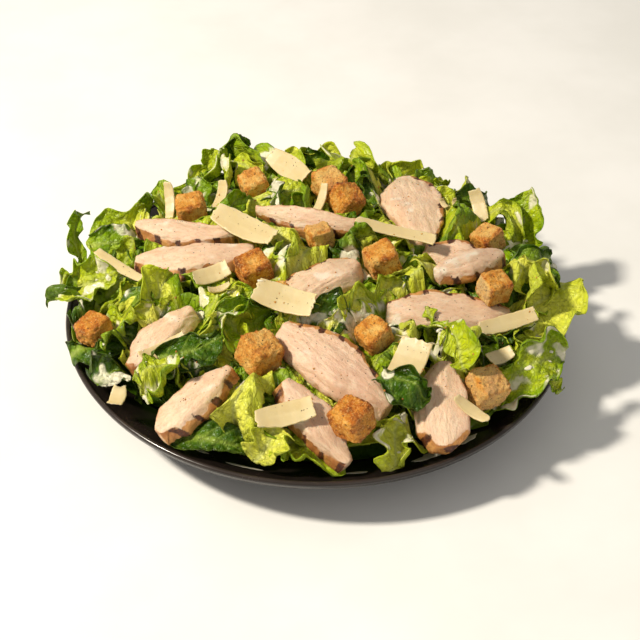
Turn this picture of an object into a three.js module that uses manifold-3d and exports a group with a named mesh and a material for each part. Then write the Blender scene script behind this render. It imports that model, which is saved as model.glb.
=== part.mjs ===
// Chicken caesar salad: a heap of romaine in a wide, shallow coupe bowl, with grilled
// chicken breast slices, croutons and shavings of hard cheese lying on it.
// Millimetres, +Z up, origin at the middle of the bowl's flat foot. The front is -Y.

import * as THREE from "three";
import { mergeVertices } from "three/addons/utils/BufferGeometryUtils.js";
import Module from "manifold-3d";

const wasm = await Module();
wasm.setup();

// ---------------------------------------------------------------- driving sizes

const RIM_RADIUS = 140;
const BOWL_HEIGHT = 30;
const FOOT_RADIUS = 78;
const FOOT_LIFT = 1.5; // how far the underside rises at the foot's edge
const WELL_RADIUS = 84; // the flat middle of the inside
const FLOOR = 6; // thickness of the bowl's floor
const LIP = 3; // width of the rounded lip
const FLARE = 1.7; // how slowly the wall starts to rise
const BOWL_SIDES = 44;
const BOWL_STEPS = 4; // along each curve of its section

const HEAP_PEAK = 62;
const HEAP_FALL = 33; // how far the heap's dome falls from its peak to HEAP_REACH
const HEAP_REACH = 150;
const HEAP_RADIUS = 132; // mean radius at which the heap ends
const HEAP_FLOOR = 24; // height at which the heap's rounded side ends
const HEAP_SIDES = 40;
const HEAP_RINGS = 7;

const SLICE_STATIONS = 6;
const SLICE_SLANT = 0.6; // how far a slice's cut leans sideways, for each mm of its thickness
const SLICE_DROOP = 1.5; // how far its long edges hang down

const CROUTON_SQUAT = 0.92; // height over width
const CROUTON_WORN = 1.6; // how much of its edges is worn off

const SHAVING_STATIONS = 6;
const SHAVING_THICK = 1.3;

const SINK = 1; // how far a topping's lowest point sinks into the leaves
const SEAT = 7; // radius of the tuft under a topping that would hang over the dome

const GAP = 0.3; // clearance between neighbouring pieces
const LIFT_STEP = 0.25; // how finely a piece is lifted clear of those under it
const MOST_LIFT = 30;

const rad = THREE.MathUtils.degToRad;

// ---------------------------------------------------------------- materials

const finish = (color, roughness) => new THREE.MeshStandardMaterial({ color, roughness, metalness: 0 });
const stoneware = finish(0x1d1917, 0.3);
const romaine = finish(0x6f9a2a, 0.45);
const chicken = finish(0xdcb894, 0.6);
const toast = finish(0xc4863c, 0.9);
const cheese = finish(0xe3d09a, 0.55);

// ---------------------------------------------------------------- solids

// A mesh, in the part's frame, as a solid that can be cut.
function solidOf(mesh) {
  mesh.updateMatrixWorld(true);
  const placed = new THREE.BufferGeometry();
  const geometry = mesh.geometry.index ? mesh.geometry.toNonIndexed() : mesh.geometry;
  placed.setAttribute("position", geometry.getAttribute("position").clone());
  placed.applyMatrix4(mesh.matrixWorld);
  const merged = mergeVertices(placed, 1e-3);
  return new wasm.Manifold(
    new wasm.Mesh({
      numProp: 3,
      vertProperties: new Float32Array(merged.attributes.position.array),
      triVerts: new Uint32Array(merged.index.array),
    }),
  );
}

// The largest body of a solid as a geometry. Crumbs that a cut leaves loose are dropped.
function geometryOf(solid) {
  const bodies = solid.decompose();
  const body = bodies.reduce((a, b) => (b.volume() > a.volume() ? b : a));
  const { vertProperties, triVerts, numProp, numVert } = body.getMesh();
  const points = new Float32Array(numVert * 3);
  for (let i = 0; i < numVert; i++) points.set(vertProperties.subarray(i * numProp, i * numProp + 3), 3 * i);
  return new THREE.BufferGeometry()
    .setAttribute("position", new THREE.BufferAttribute(points, 3))
    .setIndex(new THREE.BufferAttribute(new Uint32Array(triVerts), 1));
}

// A closed skin over rings of points, each ring running from +Y to +Z, seen from +X.
function loft(rings) {
  const sides = rings[0].length;
  const last = (rings.length - 1) * sides;
  const faces = [];
  for (let i = 0; i < last; i += sides) {
    for (let j = 0; j < sides; j++) {
      const next = (j + 1) % sides;
      faces.push(i + j, i + next, i + sides + j);
      faces.push(i + next, i + sides + next, i + sides + j);
    }
  }
  for (let j = 1; j < sides - 1; j++) {
    faces.push(0, j + 1, j);
    faces.push(last, last + j, last + j + 1);
  }
  return new THREE.BufferGeometry().setFromPoints(rings.flat()).setIndex(faces);
}

// ---------------------------------------------------------------- the bowl

const rise = (radius, from, to) => Math.max(0, (radius - from) / (to - from)) ** FLARE;
const insideHeight = (radius) => FLOOR + (BOWL_HEIGHT - FLOOR) * rise(radius, WELL_RADIUS, RIM_RADIUS - LIP);

// Points along the curve of the wall between two radii.
const wall = (from, to, height) =>
  Array.from({ length: BOWL_STEPS + 1 }, (_, i) => {
    const radius = THREE.MathUtils.lerp(from, to, i / BOWL_STEPS);
    return new THREE.Vector2(radius, height(radius));
  });

// The bowl's section from the middle of the foot round the lip to the middle of the floor.
function bowlGeometry() {
  const start = FOOT_RADIUS + 2;
  const end = RIM_RADIUS - LIP / 5;
  const climb = BOWL_HEIGHT - LIP - 1 - FOOT_LIFT;
  const outsideHeight = (radius) => FOOT_LIFT + climb * rise(radius, start, end);
  const lipPoint = (turn) =>
    new THREE.Vector2(Math.cos(rad(turn)), Math.sin(rad(turn)))
      .multiplyScalar(LIP / 2)
      .add(new THREE.Vector2(RIM_RADIUS - LIP / 2, BOWL_HEIGHT - LIP / 2));
  const section = [
    new THREE.Vector2(0, 0),
    new THREE.Vector2(FOOT_RADIUS, 0),
    ...wall(start, end, outsideHeight),
    ...[-20, 35, 90].map(lipPoint),
    ...wall(RIM_RADIUS - LIP, WELL_RADIUS, insideHeight),
    new THREE.Vector2(0, FLOOR),
  ];
  return new THREE.LatheGeometry(section, BOWL_SIDES).rotateX(Math.PI / 2);
}

// Everything below the bowl's inside, one gap up, and the outside below the rim.
function bowlClearance() {
  const reach = RIM_RADIUS + 40;
  const top = BOWL_HEIGHT + GAP;
  const inside = wall(RIM_RADIUS - LIP, WELL_RADIUS, insideHeight);
  const section = [
    new THREE.Vector2(0, -10),
    new THREE.Vector2(reach, -10),
    new THREE.Vector2(reach, top),
    ...inside.map((point) => point.add(new THREE.Vector2(-GAP, GAP))),
    new THREE.Vector2(0, FLOOR + GAP),
  ];
  return new THREE.Mesh(new THREE.LatheGeometry(section, BOWL_SIDES).rotateX(Math.PI / 2));
}

// ---------------------------------------------------------------- the heap of romaine

// The heap reaches over the rim at the back and both sides and leaves the front bare.
function heapEdge(angle) {
  const wide = 7 * Math.cos(2 * angle) + 5 * Math.sin(angle);
  const ragged = 3 * Math.cos(5 * angle + 2) + 3 * Math.cos(9 * angle) + 2 * Math.sin(14 * angle);
  return HEAP_RADIUS + wide + ragged;
}

// The smooth dome that the toppings are laid on.
const domeHeight = (x, y) => HEAP_PEAK - HEAP_FALL * (Math.hypot(x, y) / HEAP_REACH) ** 2.2;

// The dome with its leaves, rounded off steeply where it ends.
function heapHeight(x, y) {
  const out = Math.min(1, Math.hypot(x, y) / heapEdge(Math.atan2(y, x)));
  const leaves = 2.5 * Math.sin(x / 11 + 1) * Math.cos(y / 10) + 1.5 * Math.sin(x / 7 + y / 9);
  return HEAP_FLOOR + (domeHeight(x, y) + leaves - HEAP_FLOOR) * Math.sqrt(1 - out ** 14);
}

// Leaves that stand out of the dome: x, y and z of their middle, then radius and half height.
const tufts = [
  [-47, 116, 47, 11, 20],
  [-76, 98, 42, 16, 14],
  [-14, 108, 44, 17, 15],
  [26, 112, 44, 18, 15],
  [58, 104, 42, 15, 14],
  [100, 76, 42, 18, 14],
  [-132, 46, 38, 14, 12],
  [-132, -14, 37, 15, 9],
  [132, -8, 40, 15, 11],
  [124, -66, 36, 13, 8],
  [-97, -82, 36, 15, 9],
];

// A tuft, or the seat of leaves under a topping.
const tuftGeometry = ([x, y, z, radius, half]) =>
  new THREE.SphereGeometry(1, 7, 4).rotateX(Math.PI / 2).scale(radius, radius, half).translate(x, y, z);

// The dome as rings of points from the middle outwards, with a flat underside.
function heapGeometry() {
  const points = [new THREE.Vector3(0, 0, heapHeight(0, 0))];
  const faces = [];
  for (let ring = 1; ring <= HEAP_RINGS + 1; ring++) {
    for (let side = 0; side < HEAP_SIDES; side++) {
      const angle = (2 * Math.PI * side) / HEAP_SIDES;
      const radius = heapEdge(angle) * Math.sin((Math.PI / 2) * Math.min(1, ring / HEAP_RINGS));
      const x = radius * Math.cos(angle);
      const y = radius * Math.sin(angle);
      points.push(new THREE.Vector3(x, y, ring > HEAP_RINGS ? 0 : heapHeight(x, y)));
    }
  }
  points.push(new THREE.Vector3(0, 0, 0));
  const bottom = points.length - 1;
  for (let side = 0; side < HEAP_SIDES; side++) {
    const next = (side + 1) % HEAP_SIDES;
    faces.push(0, 1 + side, 1 + next);
    for (let ring = 0; ring < HEAP_RINGS; ring++) {
      const inner = 1 + ring * HEAP_SIDES;
      const outer = inner + HEAP_SIDES;
      faces.push(inner + side, outer + side, outer + next);
      faces.push(inner + side, outer + next, inner + next);
    }
    faces.push(bottom, bottom - HEAP_SIDES + next, bottom - HEAP_SIDES + side);
  }
  return new THREE.BufferGeometry().setFromPoints(points).setIndex(faces);
}

// ---------------------------------------------------------------- toppings

// A slice of chicken breast, cut across on a slant: widest at "belly" of its length, bowed
// sideways, arched over the leaves, and drooping at its long edges.
function sliceGeometry({ length, width, thick = 8, belly = 0.5, bow = 0, arch = 3 }, grow = 0) {
  const skew = Math.log(0.5) / Math.log(belly);
  const section = [
    [1, 0], [0.84, 0.5], [0, 0.5], [-0.84, 0.5],
    [-1, 0], [-0.84, -0.5], [0, -0.5], [0.84, -0.5],
  ];
  const rings = [];
  for (let i = 0; i < SLICE_STATIONS; i++) {
    const along = i / (SLICE_STATIONS - 1);
    const swell = 0.3 + 0.7 * Math.sin(Math.PI * along ** skew) ** 0.7;
    const half = (width / 2) * swell * (1 + 0.05 * Math.sin(9 * along + length)) + grow;
    const middle = bow * (1 - (2 * along - 1) ** 2);
    const sag = -arch * (2 * along - 1) ** 2;
    rings.push(
      section.map(([side, up]) => {
        const z = up * (thick + 2 * grow);
        return new THREE.Vector3(
          (along - 0.5) * (length + 2 * grow),
          middle + side * half + SLICE_SLANT * z,
          z + sag - SLICE_DROOP * side * side,
        );
      }),
    );
  }
  return loft(rings);
}

// A cube of toasted bread, never quite square: it leans and tapers. Its edges are worn off
// by "corner", and it has sharp ones where that is 0.
function croutonGeometry({ size, corner = CROUTON_WORN }, grow = 0) {
  const reach = size / 2;
  const worn = () =>
    loft(
      [[-reach, corner], [corner - reach, 0], [reach - corner, 0], [reach, corner]].map(([x, inset]) => {
        const a = reach - inset;
        const b = a - corner;
        const section = [[a, -b], [a, b], [b, a], [-b, a], [-a, b], [-a, -b], [-b, -a], [b, -a]];
        return section.map(([y, z]) => new THREE.Vector3(x, y, z * CROUTON_SQUAT));
      }),
    );
  const geometry = corner > 0 ? worn() : new THREE.BoxGeometry(size, size, size * CROUTON_SQUAT);
  const lean = 0.15 * Math.sin(7 * size);
  const taper = 0.14 * Math.cos(5 * size);
  const scale = 1 + (2 * grow) / size;
  const corners = geometry.getAttribute("position");
  for (let i = 0; i < corners.count; i++) {
    const [x, y, z] = [corners.getX(i), corners.getY(i), corners.getZ(i)];
    const side = y * (1 + (taper * z) / size) - lean * x;
    corners.setXYZ(i, (x + lean * z) * scale, side * scale, (z + lean * side) * scale);
  }
  return geometry;
}

// A shaving of hard cheese: a thin strip whose two ends curl up. "start" and "end" are the
// widths of its ends over its own.
function shavingGeometry({ length, width, start = 0.6, end = 0.8, curl = 2.5, bow = 0 }, grow = 0) {
  const halfThick = SHAVING_THICK / 2 + grow;
  const rings = [];
  for (let i = 0; i < SHAVING_STATIONS; i++) {
    const along = i / (SHAVING_STATIONS - 1);
    const ends = THREE.MathUtils.lerp(start, end, along);
    const half = (width / 2) * (ends + (1 - ends) * Math.sin(Math.PI * along) ** 0.8) + grow;
    const x = (along - 0.5) * (length + 2 * grow);
    const middle = bow * (1 - (2 * along - 1) ** 2);
    const lift = curl * (2 * along - 1) ** 2;
    rings.push([
      new THREE.Vector3(x, middle + half, lift - halfThick),
      new THREE.Vector3(x, middle + half, lift + halfThick),
      new THREE.Vector3(x, middle - half, lift + halfThick),
      new THREE.Vector3(x, middle - half, lift - halfThick),
    ]);
  }
  return loft(rings);
}

// Each topping's name, then x, y and the height of its middle over the dome, then how it is
// turned: "turn" from +X towards +Y, "pitch" lifts its +X end and "roll" its +Y side, in
// degrees, then its sizes. Pieces that lie on others come after them.
const slices = [
  ["chicken_left_upper", [-75, 31, 2], [-12, 4, 14], { length: 64, width: 18, bow: -4 }],
  ["chicken_left_lower", [-69, 6, 0], [2, 6, 6], { length: 66, width: 22, bow: -4, belly: 0.42 }],
  ["chicken_back_edge", [-5, 33, 2], [-14, 0, 48], { length: 66, width: 16, thick: 7, bow: -3, arch: 4 }],
  ["chicken_back_tall", [56, 62, 1], [-80, 2, 0], { length: 68, width: 34, belly: 0.42 }],
  ["chicken_right_torn", [79, 13, 0], [-14, -4, 14], { length: 40, width: 18 }],
  ["chicken_right_upper", [85, -2, 3], [32, -6, 8], { length: 48, width: 17, thick: 7, belly: 0.4 }],
  ["chicken_right_wide", [71, -36, 0], [5, -6, 8], { length: 68, width: 26, belly: 0.45 }],
  ["chicken_middle", [2, -22, 1], [38, 2, -4], { length: 50, width: 27, belly: 0.6 }],
  ["chicken_front_lower", [0, -113, -1], [-48, -22, 6], { length: 54, width: 20, arch: 2 }],
  ["chicken_front_large", [10, -83, 3], [-39, -10, 8], { length: 72, width: 29, thick: 9, arch: 4 }],
  ["chicken_front_right", [64, -98, 1], [-90, -20, 0], { length: 50, width: 28, belly: 0.62, arch: 2 }],
  ["chicken_left_middle", [-80, -56, 0], [50, 14, -6], { length: 48, width: 20 }],
  ["chicken_left_front", [-59, -100, 1], [42, 20, -6], { length: 51, width: 20, arch: 2, belly: 0.42 }],
];

const croutons = [
  ["crouton_back_left", [-39, 74, 6], [25, 10, 14], { size: 16 }],
  ["crouton_left_upper", [-74, 50, 6], [8, 4, 10], { size: 16 }],
  ["crouton_back_light", [6, 73, 5], [35, 12, 8], { size: 16.5 }],
  ["crouton_back_dark", [16, 53, 5], [42, -14, 18], { size: 15.5 }],
  ["crouton_half_hidden", [1, 16, 2], [20, 2, -8], { size: 14 }],
  ["crouton_middle_left", [-34, -17, 5], [28, 8, 8], { size: 17 }],
  ["crouton_middle_right", [35, -5, 4], [22, 12, 4], { size: 17 }],
  ["crouton_right_upper", [97, 31, 5], [40, 8, -6], { size: 16 }],
  ["crouton_right_pale", [95, -24, 9], [24, -10, 12], { size: 16 }],
  ["crouton_left_rim", [-118, -44, 4], [62, 10, -10], { size: 14.5 }],
  ["crouton_front_left", [-28, -77, 5], [40, -8, 12], { size: 18 }],
  ["crouton_front_middle", [30, -63, 4], [38, 14, 6], { size: 16 }],
  ["crouton_front_right", [87, -86, 5], [30, -8, 14], { size: 17.5 }],
  ["crouton_front_centre", [19, -119, 10], [55, 12, -14], { size: 16.5 }],
  ["crouton_under_shaving", [-20, -40, -3], [12, 0, 0], { size: 11 }],
];

const shavings = [
  ["cheese_back", [-18, 90, 10], [-50, 2, 36], { length: 36, width: 15, start: 0.6, end: 0.45 }],
  ["cheese_left_spike", [-88, 64, 7], [-84, -40, 24], { length: 23, width: 7, start: 0.3 }],
  ["cheese_behind_crouton", [-57, 58, 8], [-106, -36, 30], { length: 18, width: 9, start: 0.4 }],
  ["cheese_upper_left", [-41, 20, 7], [-38, 2, 20], { length: 45, width: 16, start: 0.4, end: 0.4 }],
  ["cheese_back_spike", [1, 50, 5], [-112, -30, 20], { length: 22, width: 7, start: 0.4 }],
  ["cheese_left", [-110, 3, 4], [-44, 4, 10], { length: 42, width: 7, start: 0.4, end: 0.7, curl: 2 }],
  ["cheese_left_inner", [-57, -19, 5], [24, 6, 26], { length: 21, width: 11, end: 0.5 }],
  ["cheese_left_shaded", [-52, -28, 2], [24, 4, 10], { length: 13, width: 5, end: 0.3 }],
  ["cheese_middle", [-16, -49, 9], [-22, 0, 24], { length: 34, width: 16, end: 0.75 }],
  ["cheese_long", [43, 18, 6], [-14, -4, 20], { length: 47, width: 8, start: 0.3, bow: 2 }],
  ["cheese_right_spike", [95, 65, 9], [-72, -34, 30], { length: 22, width: 9, start: 0.5, end: 0.8 }],
  ["cheese_right", [101, -42, 7], [18, 6, 26], { length: 33, width: 10, start: 0.4, end: 0.8 }],
  ["cheese_front", [47, -83, 9], [-116, -20, 6], { length: 27, width: 18, start: 0.85, end: 0.9 }],
  ["cheese_right_lower", [95, -66, 6], [24, 2, 14], { length: 15, width: 9, start: 0.3, end: 0.8 }],
  ["cheese_right_crescent", [78, -104, 7], [-36, -14, 18], { length: 21, width: 7, start: 0.3, end: 0.3 }],
  ["cheese_left_middle", [-76, -72, 6], [32, 8, 14], { length: 27, width: 14, start: 0.9, end: 0.6 }],
  ["cheese_front_left", [-14, -114, 7], [14, 6, 14], { length: 30, width: 14, start: 0.6, end: 0.85 }],
  ["cheese_left_rim", [-99, -92, 4], [-98, -16, 0], { length: 12, width: 9, start: 0.6, end: 1 }],
  ["cheese_chip_left", [73, 58, 5], [-60, -20, 10], { length: 8, width: 4 }],
  ["cheese_chip_right", [81, 66, 5], [-70, -26, 6], { length: 8, width: 4 }],
];

// ---------------------------------------------------------------- putting it together

const part = new THREE.Group();
part.name = "chicken_caesar_salad";

const bowl = new THREE.Mesh(bowlGeometry(), stoneware);
bowl.name = "bowl";
part.add(bowl);

// Every piece so far as a solid, with its box, so that a new one can be laid clear of it.
const laid = [{ solid: solidOf(bowl), box: new THREE.Box3().setFromObject(bowl) }];

// Tufts of leaves that carry the toppings which lie clear of the dome and of each other.
const seats = [];

// The point of a mesh that comes nearest to the dome or deepest into it, and its height there.
function lowestPoint(mesh) {
  mesh.updateMatrixWorld(true);
  const place = mesh.geometry.getAttribute("position");
  const points = Array.from({ length: place.count }, (_, i) =>
    new THREE.Vector3().fromBufferAttribute(place, i).applyMatrix4(mesh.matrixWorld),
  );
  const above = (point) => point.z - domeHeight(point.x, point.y);
  const point = points.reduce((a, b) => (above(b) < above(a) ? b : a));
  return { point, above: above(point) };
}

// Lays a topping on the dome and lifts it until it is one gap clear of what lies there.
// A topping that then rests on nothing gets a seat of leaves.
function lay([name, [x, y, up], [turn, pitch, roll], sizes], shape, material) {
  const mesh = new THREE.Mesh(shape(sizes), material);
  mesh.name = name;
  mesh.position.set(x, y, domeHeight(x, y) + up);
  mesh.rotation.set(rad(roll), rad(-pitch), rad(turn), "ZYX");
  const grown = new THREE.Mesh(shape(sizes, GAP));
  grown.rotation.copy(mesh.rotation);
  let lift = 0;
  for (; lift < MOST_LIFT; lift += LIFT_STEP) {
    grown.position.copy(mesh.position);
    const solid = solidOf(grown);
    const box = new THREE.Box3().setFromObject(grown);
    const near = laid.filter((other) => other.box.intersectsBox(box));
    if (near.every((other) => other.solid.intersect(solid).volume() < 1e-3)) break;
    mesh.position.z += LIFT_STEP;
  }
  laid.push({ solid: solidOf(mesh), box: new THREE.Box3().setFromObject(mesh) });
  part.add(mesh);
  const { point, above } = lowestPoint(mesh);
  if (lift === 0 && above > -SINK) seats.push([point.x, point.y, point.z - SEAT / 2, SEAT, SEAT]);
  const sharp = new THREE.Mesh(shape({ ...sizes, corner: 0 }, GAP));
  sharp.position.copy(mesh.position);
  sharp.rotation.copy(mesh.rotation);
  return solidOf(sharp);
}

const clearances = [
  ...slices.map((piece) => lay(piece, sliceGeometry, chicken)),
  ...croutons.map((piece) => lay(piece, croutonGeometry, toast)),
  ...shavings.map((piece) => lay(piece, shavingGeometry, cheese)),
];

// The leaves fill the space between the bowl and the toppings.
const allLeaves = [...tufts, ...seats].reduce(
  (heap, tuft) => heap.add(solidOf(new THREE.Mesh(tuftGeometry(tuft)))),
  solidOf(new THREE.Mesh(heapGeometry())),
);
const leaves = clearances.reduce(
  (heap, clearance) => heap.subtract(clearance),
  allLeaves.subtract(solidOf(bowlClearance())),
);
const lettuce = new THREE.Mesh(geometryOf(leaves), romaine);
lettuce.name = "lettuce_heap";
part.add(lettuce);

export default part;
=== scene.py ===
# %% [markdown]
# # Chicken caesar salad in a dark bowl
# A wide, shallow stoneware bowl is heaped with torn romaine. Slices of grilled chicken, toasted
# croutons and long shavings of hard cheese lie on top, with a creamy dressing and ground pepper.
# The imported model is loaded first, because every piece takes its place from it.

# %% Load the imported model
import itertools
import math
import bpy
import numpy as np
from mathutils import Matrix, Vector
from mathutils.geometry import convex_hull_2d


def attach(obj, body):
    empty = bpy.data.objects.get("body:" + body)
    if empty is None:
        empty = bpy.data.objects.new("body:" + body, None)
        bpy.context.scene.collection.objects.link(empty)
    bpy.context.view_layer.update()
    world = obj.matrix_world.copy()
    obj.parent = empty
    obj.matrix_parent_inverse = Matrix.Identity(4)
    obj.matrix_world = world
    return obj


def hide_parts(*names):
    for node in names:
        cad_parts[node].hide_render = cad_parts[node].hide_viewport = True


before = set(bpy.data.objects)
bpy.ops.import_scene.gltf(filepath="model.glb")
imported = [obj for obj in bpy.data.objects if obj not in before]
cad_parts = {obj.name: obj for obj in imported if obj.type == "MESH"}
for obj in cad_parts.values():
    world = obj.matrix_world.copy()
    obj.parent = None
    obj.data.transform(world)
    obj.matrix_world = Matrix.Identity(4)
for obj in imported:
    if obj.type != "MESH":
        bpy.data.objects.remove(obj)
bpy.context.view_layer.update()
MM = 0.001
print("pieces in the model:", len(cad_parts))

# %% [markdown]
# ## Camera
# The salad is seen from the front and well above, with a long lens, so that the round bowl keeps its
# true oval. The camera leans a little, which is why it also turns about its own line of sight.

# %% Camera
CAMERA_PLACE = Vector((0.0022, -0.5706, 0.4919))
CAMERA_DOWN = 39.79
CAMERA_LEAN = 1.25
CAMERA_LENS = 73.125

camera_data = bpy.data.cameras.new("camera")
camera_data.lens = CAMERA_LENS
camera_data.sensor_width = 36
camera_data.clip_start = 0.01
camera = bpy.data.objects.new("camera", camera_data)
bpy.context.collection.objects.link(camera)
look_down = Matrix.Rotation(math.radians(90 - CAMERA_DOWN), 4, "X")
lean = Matrix.Rotation(math.radians(CAMERA_LEAN), 4, "Z")
camera.matrix_world = Matrix.Translation(CAMERA_PLACE) @ look_down @ lean
bpy.context.scene.camera = camera
print("camera lens:", camera_data.lens, "mm")

# %% [markdown]
# ## Helpers for colour and nodes
# Paint colours are easy to read as 0 to 255, as on a screen, but a shader wants linear light, so each
# one is converted. Every finish below is a small tree of nodes round one Principled shader.

# %% Colours and nodes
def paint(red, green, blue):
    """A screen colour from 0 to 255 as the linear colour that a shader wants."""
    linear = []
    for value in (red, green, blue):
        part = value / 255
        linear.append(part / 12.92 if part <= 0.04045 else ((part + 0.055) / 1.055) ** 2.4)
    return (*linear, 1.0)


def new_finish(name):
    """A new material, its node tree and its shader."""
    finish = bpy.data.materials.new(name)
    finish.use_nodes = True
    tree = finish.node_tree
    return finish, tree, tree.nodes["Principled BSDF"]


def add_node(tree, kind, **settings):
    """A node of that kind, with its settings and the values of its inputs."""
    node = tree.nodes.new("ShaderNode" + kind)
    for key, value in settings.items():
        if hasattr(node, key):
            setattr(node, key, value)
        else:
            node.inputs[key].default_value = value
    return node


def noise_on(tree, vector, scale, detail=3, roughness=0.55):
    """Cloudy noise on a vector. Its scale counts lumps to the metre."""
    node = add_node(tree, "TexNoise", Scale=scale, Detail=detail, Roughness=roughness)
    tree.links.new(vector, node.inputs["Vector"])
    return node.outputs["Fac"]


def ramp(tree, value, low, high, start=0.0, end=1.0):
    """A value stretched from low..high to start..end, with soft ends."""
    node = add_node(tree, "MapRange", interpolation_type="SMOOTHSTEP")
    tree.links.new(value, node.inputs["Value"])
    for key, number in (("From Min", low), ("From Max", high), ("To Min", start), ("To Max", end)):
        node.inputs[key].default_value = number
    return node.outputs["Result"]


def sum_of(tree, operation, first, second):
    """Two values joined by ADD, MULTIPLY, MAXIMUM and so on. Either may be a plain number."""
    node = add_node(tree, "Math", operation=operation)
    for socket, value in zip(node.inputs, (first, second)):
        if isinstance(value, (int, float)):
            socket.default_value = value
        else:
            tree.links.new(value, socket)
    return node.outputs["Value"]


def blend(tree, amount, first, second):
    """The second colour laid over the first by that amount."""
    node = add_node(tree, "Mix", data_type="RGBA")
    for socket, value in ((node.inputs[0], amount), (node.inputs[6], first), (node.inputs[7], second)):
        if isinstance(value, (int, float)) and socket.type == "RGBA":
            value = (value, value, value, 1.0)
        if isinstance(value, (int, float, tuple)):
            socket.default_value = value
        else:
            tree.links.new(value, socket)
    return node.outputs[2]


def bump_from(tree, height, strength, distance):
    """A bump of that height in metres, for a shader's normal."""
    node = add_node(tree, "Bump", Strength=strength, Distance=distance)
    tree.links.new(height, node.inputs["Height"])
    return node.outputs["Normal"]


print("helpers ready; cream is", [round(v, 2) for v in paint(240, 232, 205)])

# %% [markdown]
# ## Nodes that several finishes share
# Food has no flat colours. Most finishes below read four masks that are painted on the points of a
# piece, such as how brown a crumb is, and lay noise over them in the piece's own coordinates. Light
# also goes a little way into meat, bread, cheese and cream, which makes them look soft.

# %% Nodes that several finishes share
def read_masks(tree):
    """The four masks that each point of a piece carries."""
    mask = add_node(tree, "Attribute", attribute_name="masks")
    parts = add_node(tree, "SeparateColor")
    tree.links.new(mask.outputs["Color"], parts.inputs["Color"])
    return (*(parts.outputs[key] for key in ("Red", "Green", "Blue")), mask.outputs["Alpha"])


def own_place(tree):
    """A piece's own coordinates, which stay with it however it is turned."""
    return add_node(tree, "Attribute", attribute_name="flat").outputs["Vector"]


def stretched(tree, vector, scale):
    """A vector with each of its axes scaled, for a pattern that is longer one way."""
    node = add_node(tree, "Mapping", Scale=scale)
    tree.links.new(vector, node.inputs["Vector"])
    return node.outputs["Vector"]


def times(tree, first, second):
    """One value times another."""
    return sum_of(tree, "MULTIPLY", first, second)


def tone_scale(tree, level, tones):
    """The colour that stands at that level in a table of levels and colours."""
    scale = add_node(tree, "ValToRGB")
    tree.links.new(level, scale.inputs["Fac"])
    points = scale.color_ramp.elements
    for number, (where, colour) in enumerate(tones):
        point = points[number] if number < 2 else points.new(where)
        point.position = where
        point.color = colour
    return scale.outputs["Color"]


def let_light_in(shader, weight, colours, depth):
    """Light that enters the skin, spreads as far as that depth in metres and comes out again."""
    shader.inputs["Subsurface Weight"].default_value = weight
    shader.inputs["Subsurface Radius"].default_value = colours
    shader.inputs["Subsurface Scale"].default_value = depth


print("shared nodes ready")

# %% [markdown]
# ## Floor and light
# The table is a plain pale sheet. One large soft lamp stands high on the left and throws shadows to
# the right, as late sunlight would, and a pale sky with a wide lamp on the right fills the shadows.

# %% Floor
def clear_selection():
    """Nothing selected and nothing active, so that the next operator acts on the next piece only."""
    bpy.ops.object.select_all(action="DESELECT")
    bpy.context.view_layer.objects.active = None


clear_selection()
bpy.ops.mesh.primitive_plane_add(size=8, location=(0, 0, -0.0005))
floor = bpy.context.object
floor.name = "floor"
bpy.ops.object.transform_apply(location=True, rotation=True, scale=True)
floor_finish, tree, shader = new_finish("pale table")
place = add_node(tree, "TexCoord").outputs["Object"]
shade = ramp(tree, noise_on(tree, place, 9, 4), 0.3, 0.7)
tree.links.new(blend(tree, shade, paint(238, 237, 234), paint(246, 245, 243)), shader.inputs["Base Color"])
shader.inputs["Roughness"].default_value = 0.8
floor.data.materials.append(floor_finish)
print("floor is", round(floor.dimensions.x), "m wide")

# %% Lights
def add_lamp(name, place, size, power, colour):
    """A square soft lamp that points at the middle of the salad."""
    data = bpy.data.lights.new(name, "AREA")
    data.size = size
    data.energy = power
    data.color = colour
    lamp = bpy.data.objects.new(name, data)
    bpy.context.collection.objects.link(lamp)
    lamp.location = place
    aim = Vector((0, 0, 0.03)) - lamp.location
    lamp.rotation_euler = aim.to_track_quat("-Z", "Y").to_euler()
    return lamp


key_lamp = add_lamp("key lamp", (-1.15, -0.25, 1.35), 0.17, 39, (1.0, 0.925, 0.79))
fill_lamp = add_lamp("fill lamp", (0.9, -1.3, 1.2), 1.6, 3.0, (1.0, 0.96, 0.9))
world = bpy.data.worlds.new("pale sky")
bpy.context.scene.world = world
world.use_nodes = True
world.node_tree.nodes["Background"].inputs["Color"].default_value = (1.0, 0.97, 0.92, 1)
world.node_tree.nodes["Background"].inputs["Strength"].default_value = 0.34
bpy.context.scene.view_settings.view_transform = "Standard"
print("lamps:", key_lamp.data.energy, "W and", fill_lamp.data.energy, "W")

# %% [markdown]
# ## Bowl
# The bowl is thrown on a wheel: a flat foot, a wide well and a wall that sweeps out to a thin round
# lip. A wheel makes rings, so the mesh is made of rings as well: a filled disc is extruded ring by
# ring, each new ring is scaled out and lifted, over the lip and back down inside.

# %% Bowl profile
RIM_RADIUS = 140
WELL_RADIUS = 84
WELL_FLOOR = 6
INNER_RISE = 24
INNER_WIDTH = 53
FLARE = 1.7
BOWL_HEIGHT = 30
LIP_RADIUS = 1.5
WALL_START = 80
WALL_BASE = 1.5
WALL_RISE = 24.5
WALL_WIDTH = 58.9
FULL_FLARE = 59.4
INNER_LIP = 136.6
BOWL_SIDES = 160


def inside_height(radius):
    """Height of the bowl's inner surface, in mm."""
    return WELL_FLOOR + INNER_RISE * np.maximum(0, (radius - WELL_RADIUS) / INNER_WIDTH) ** FLARE


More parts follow.
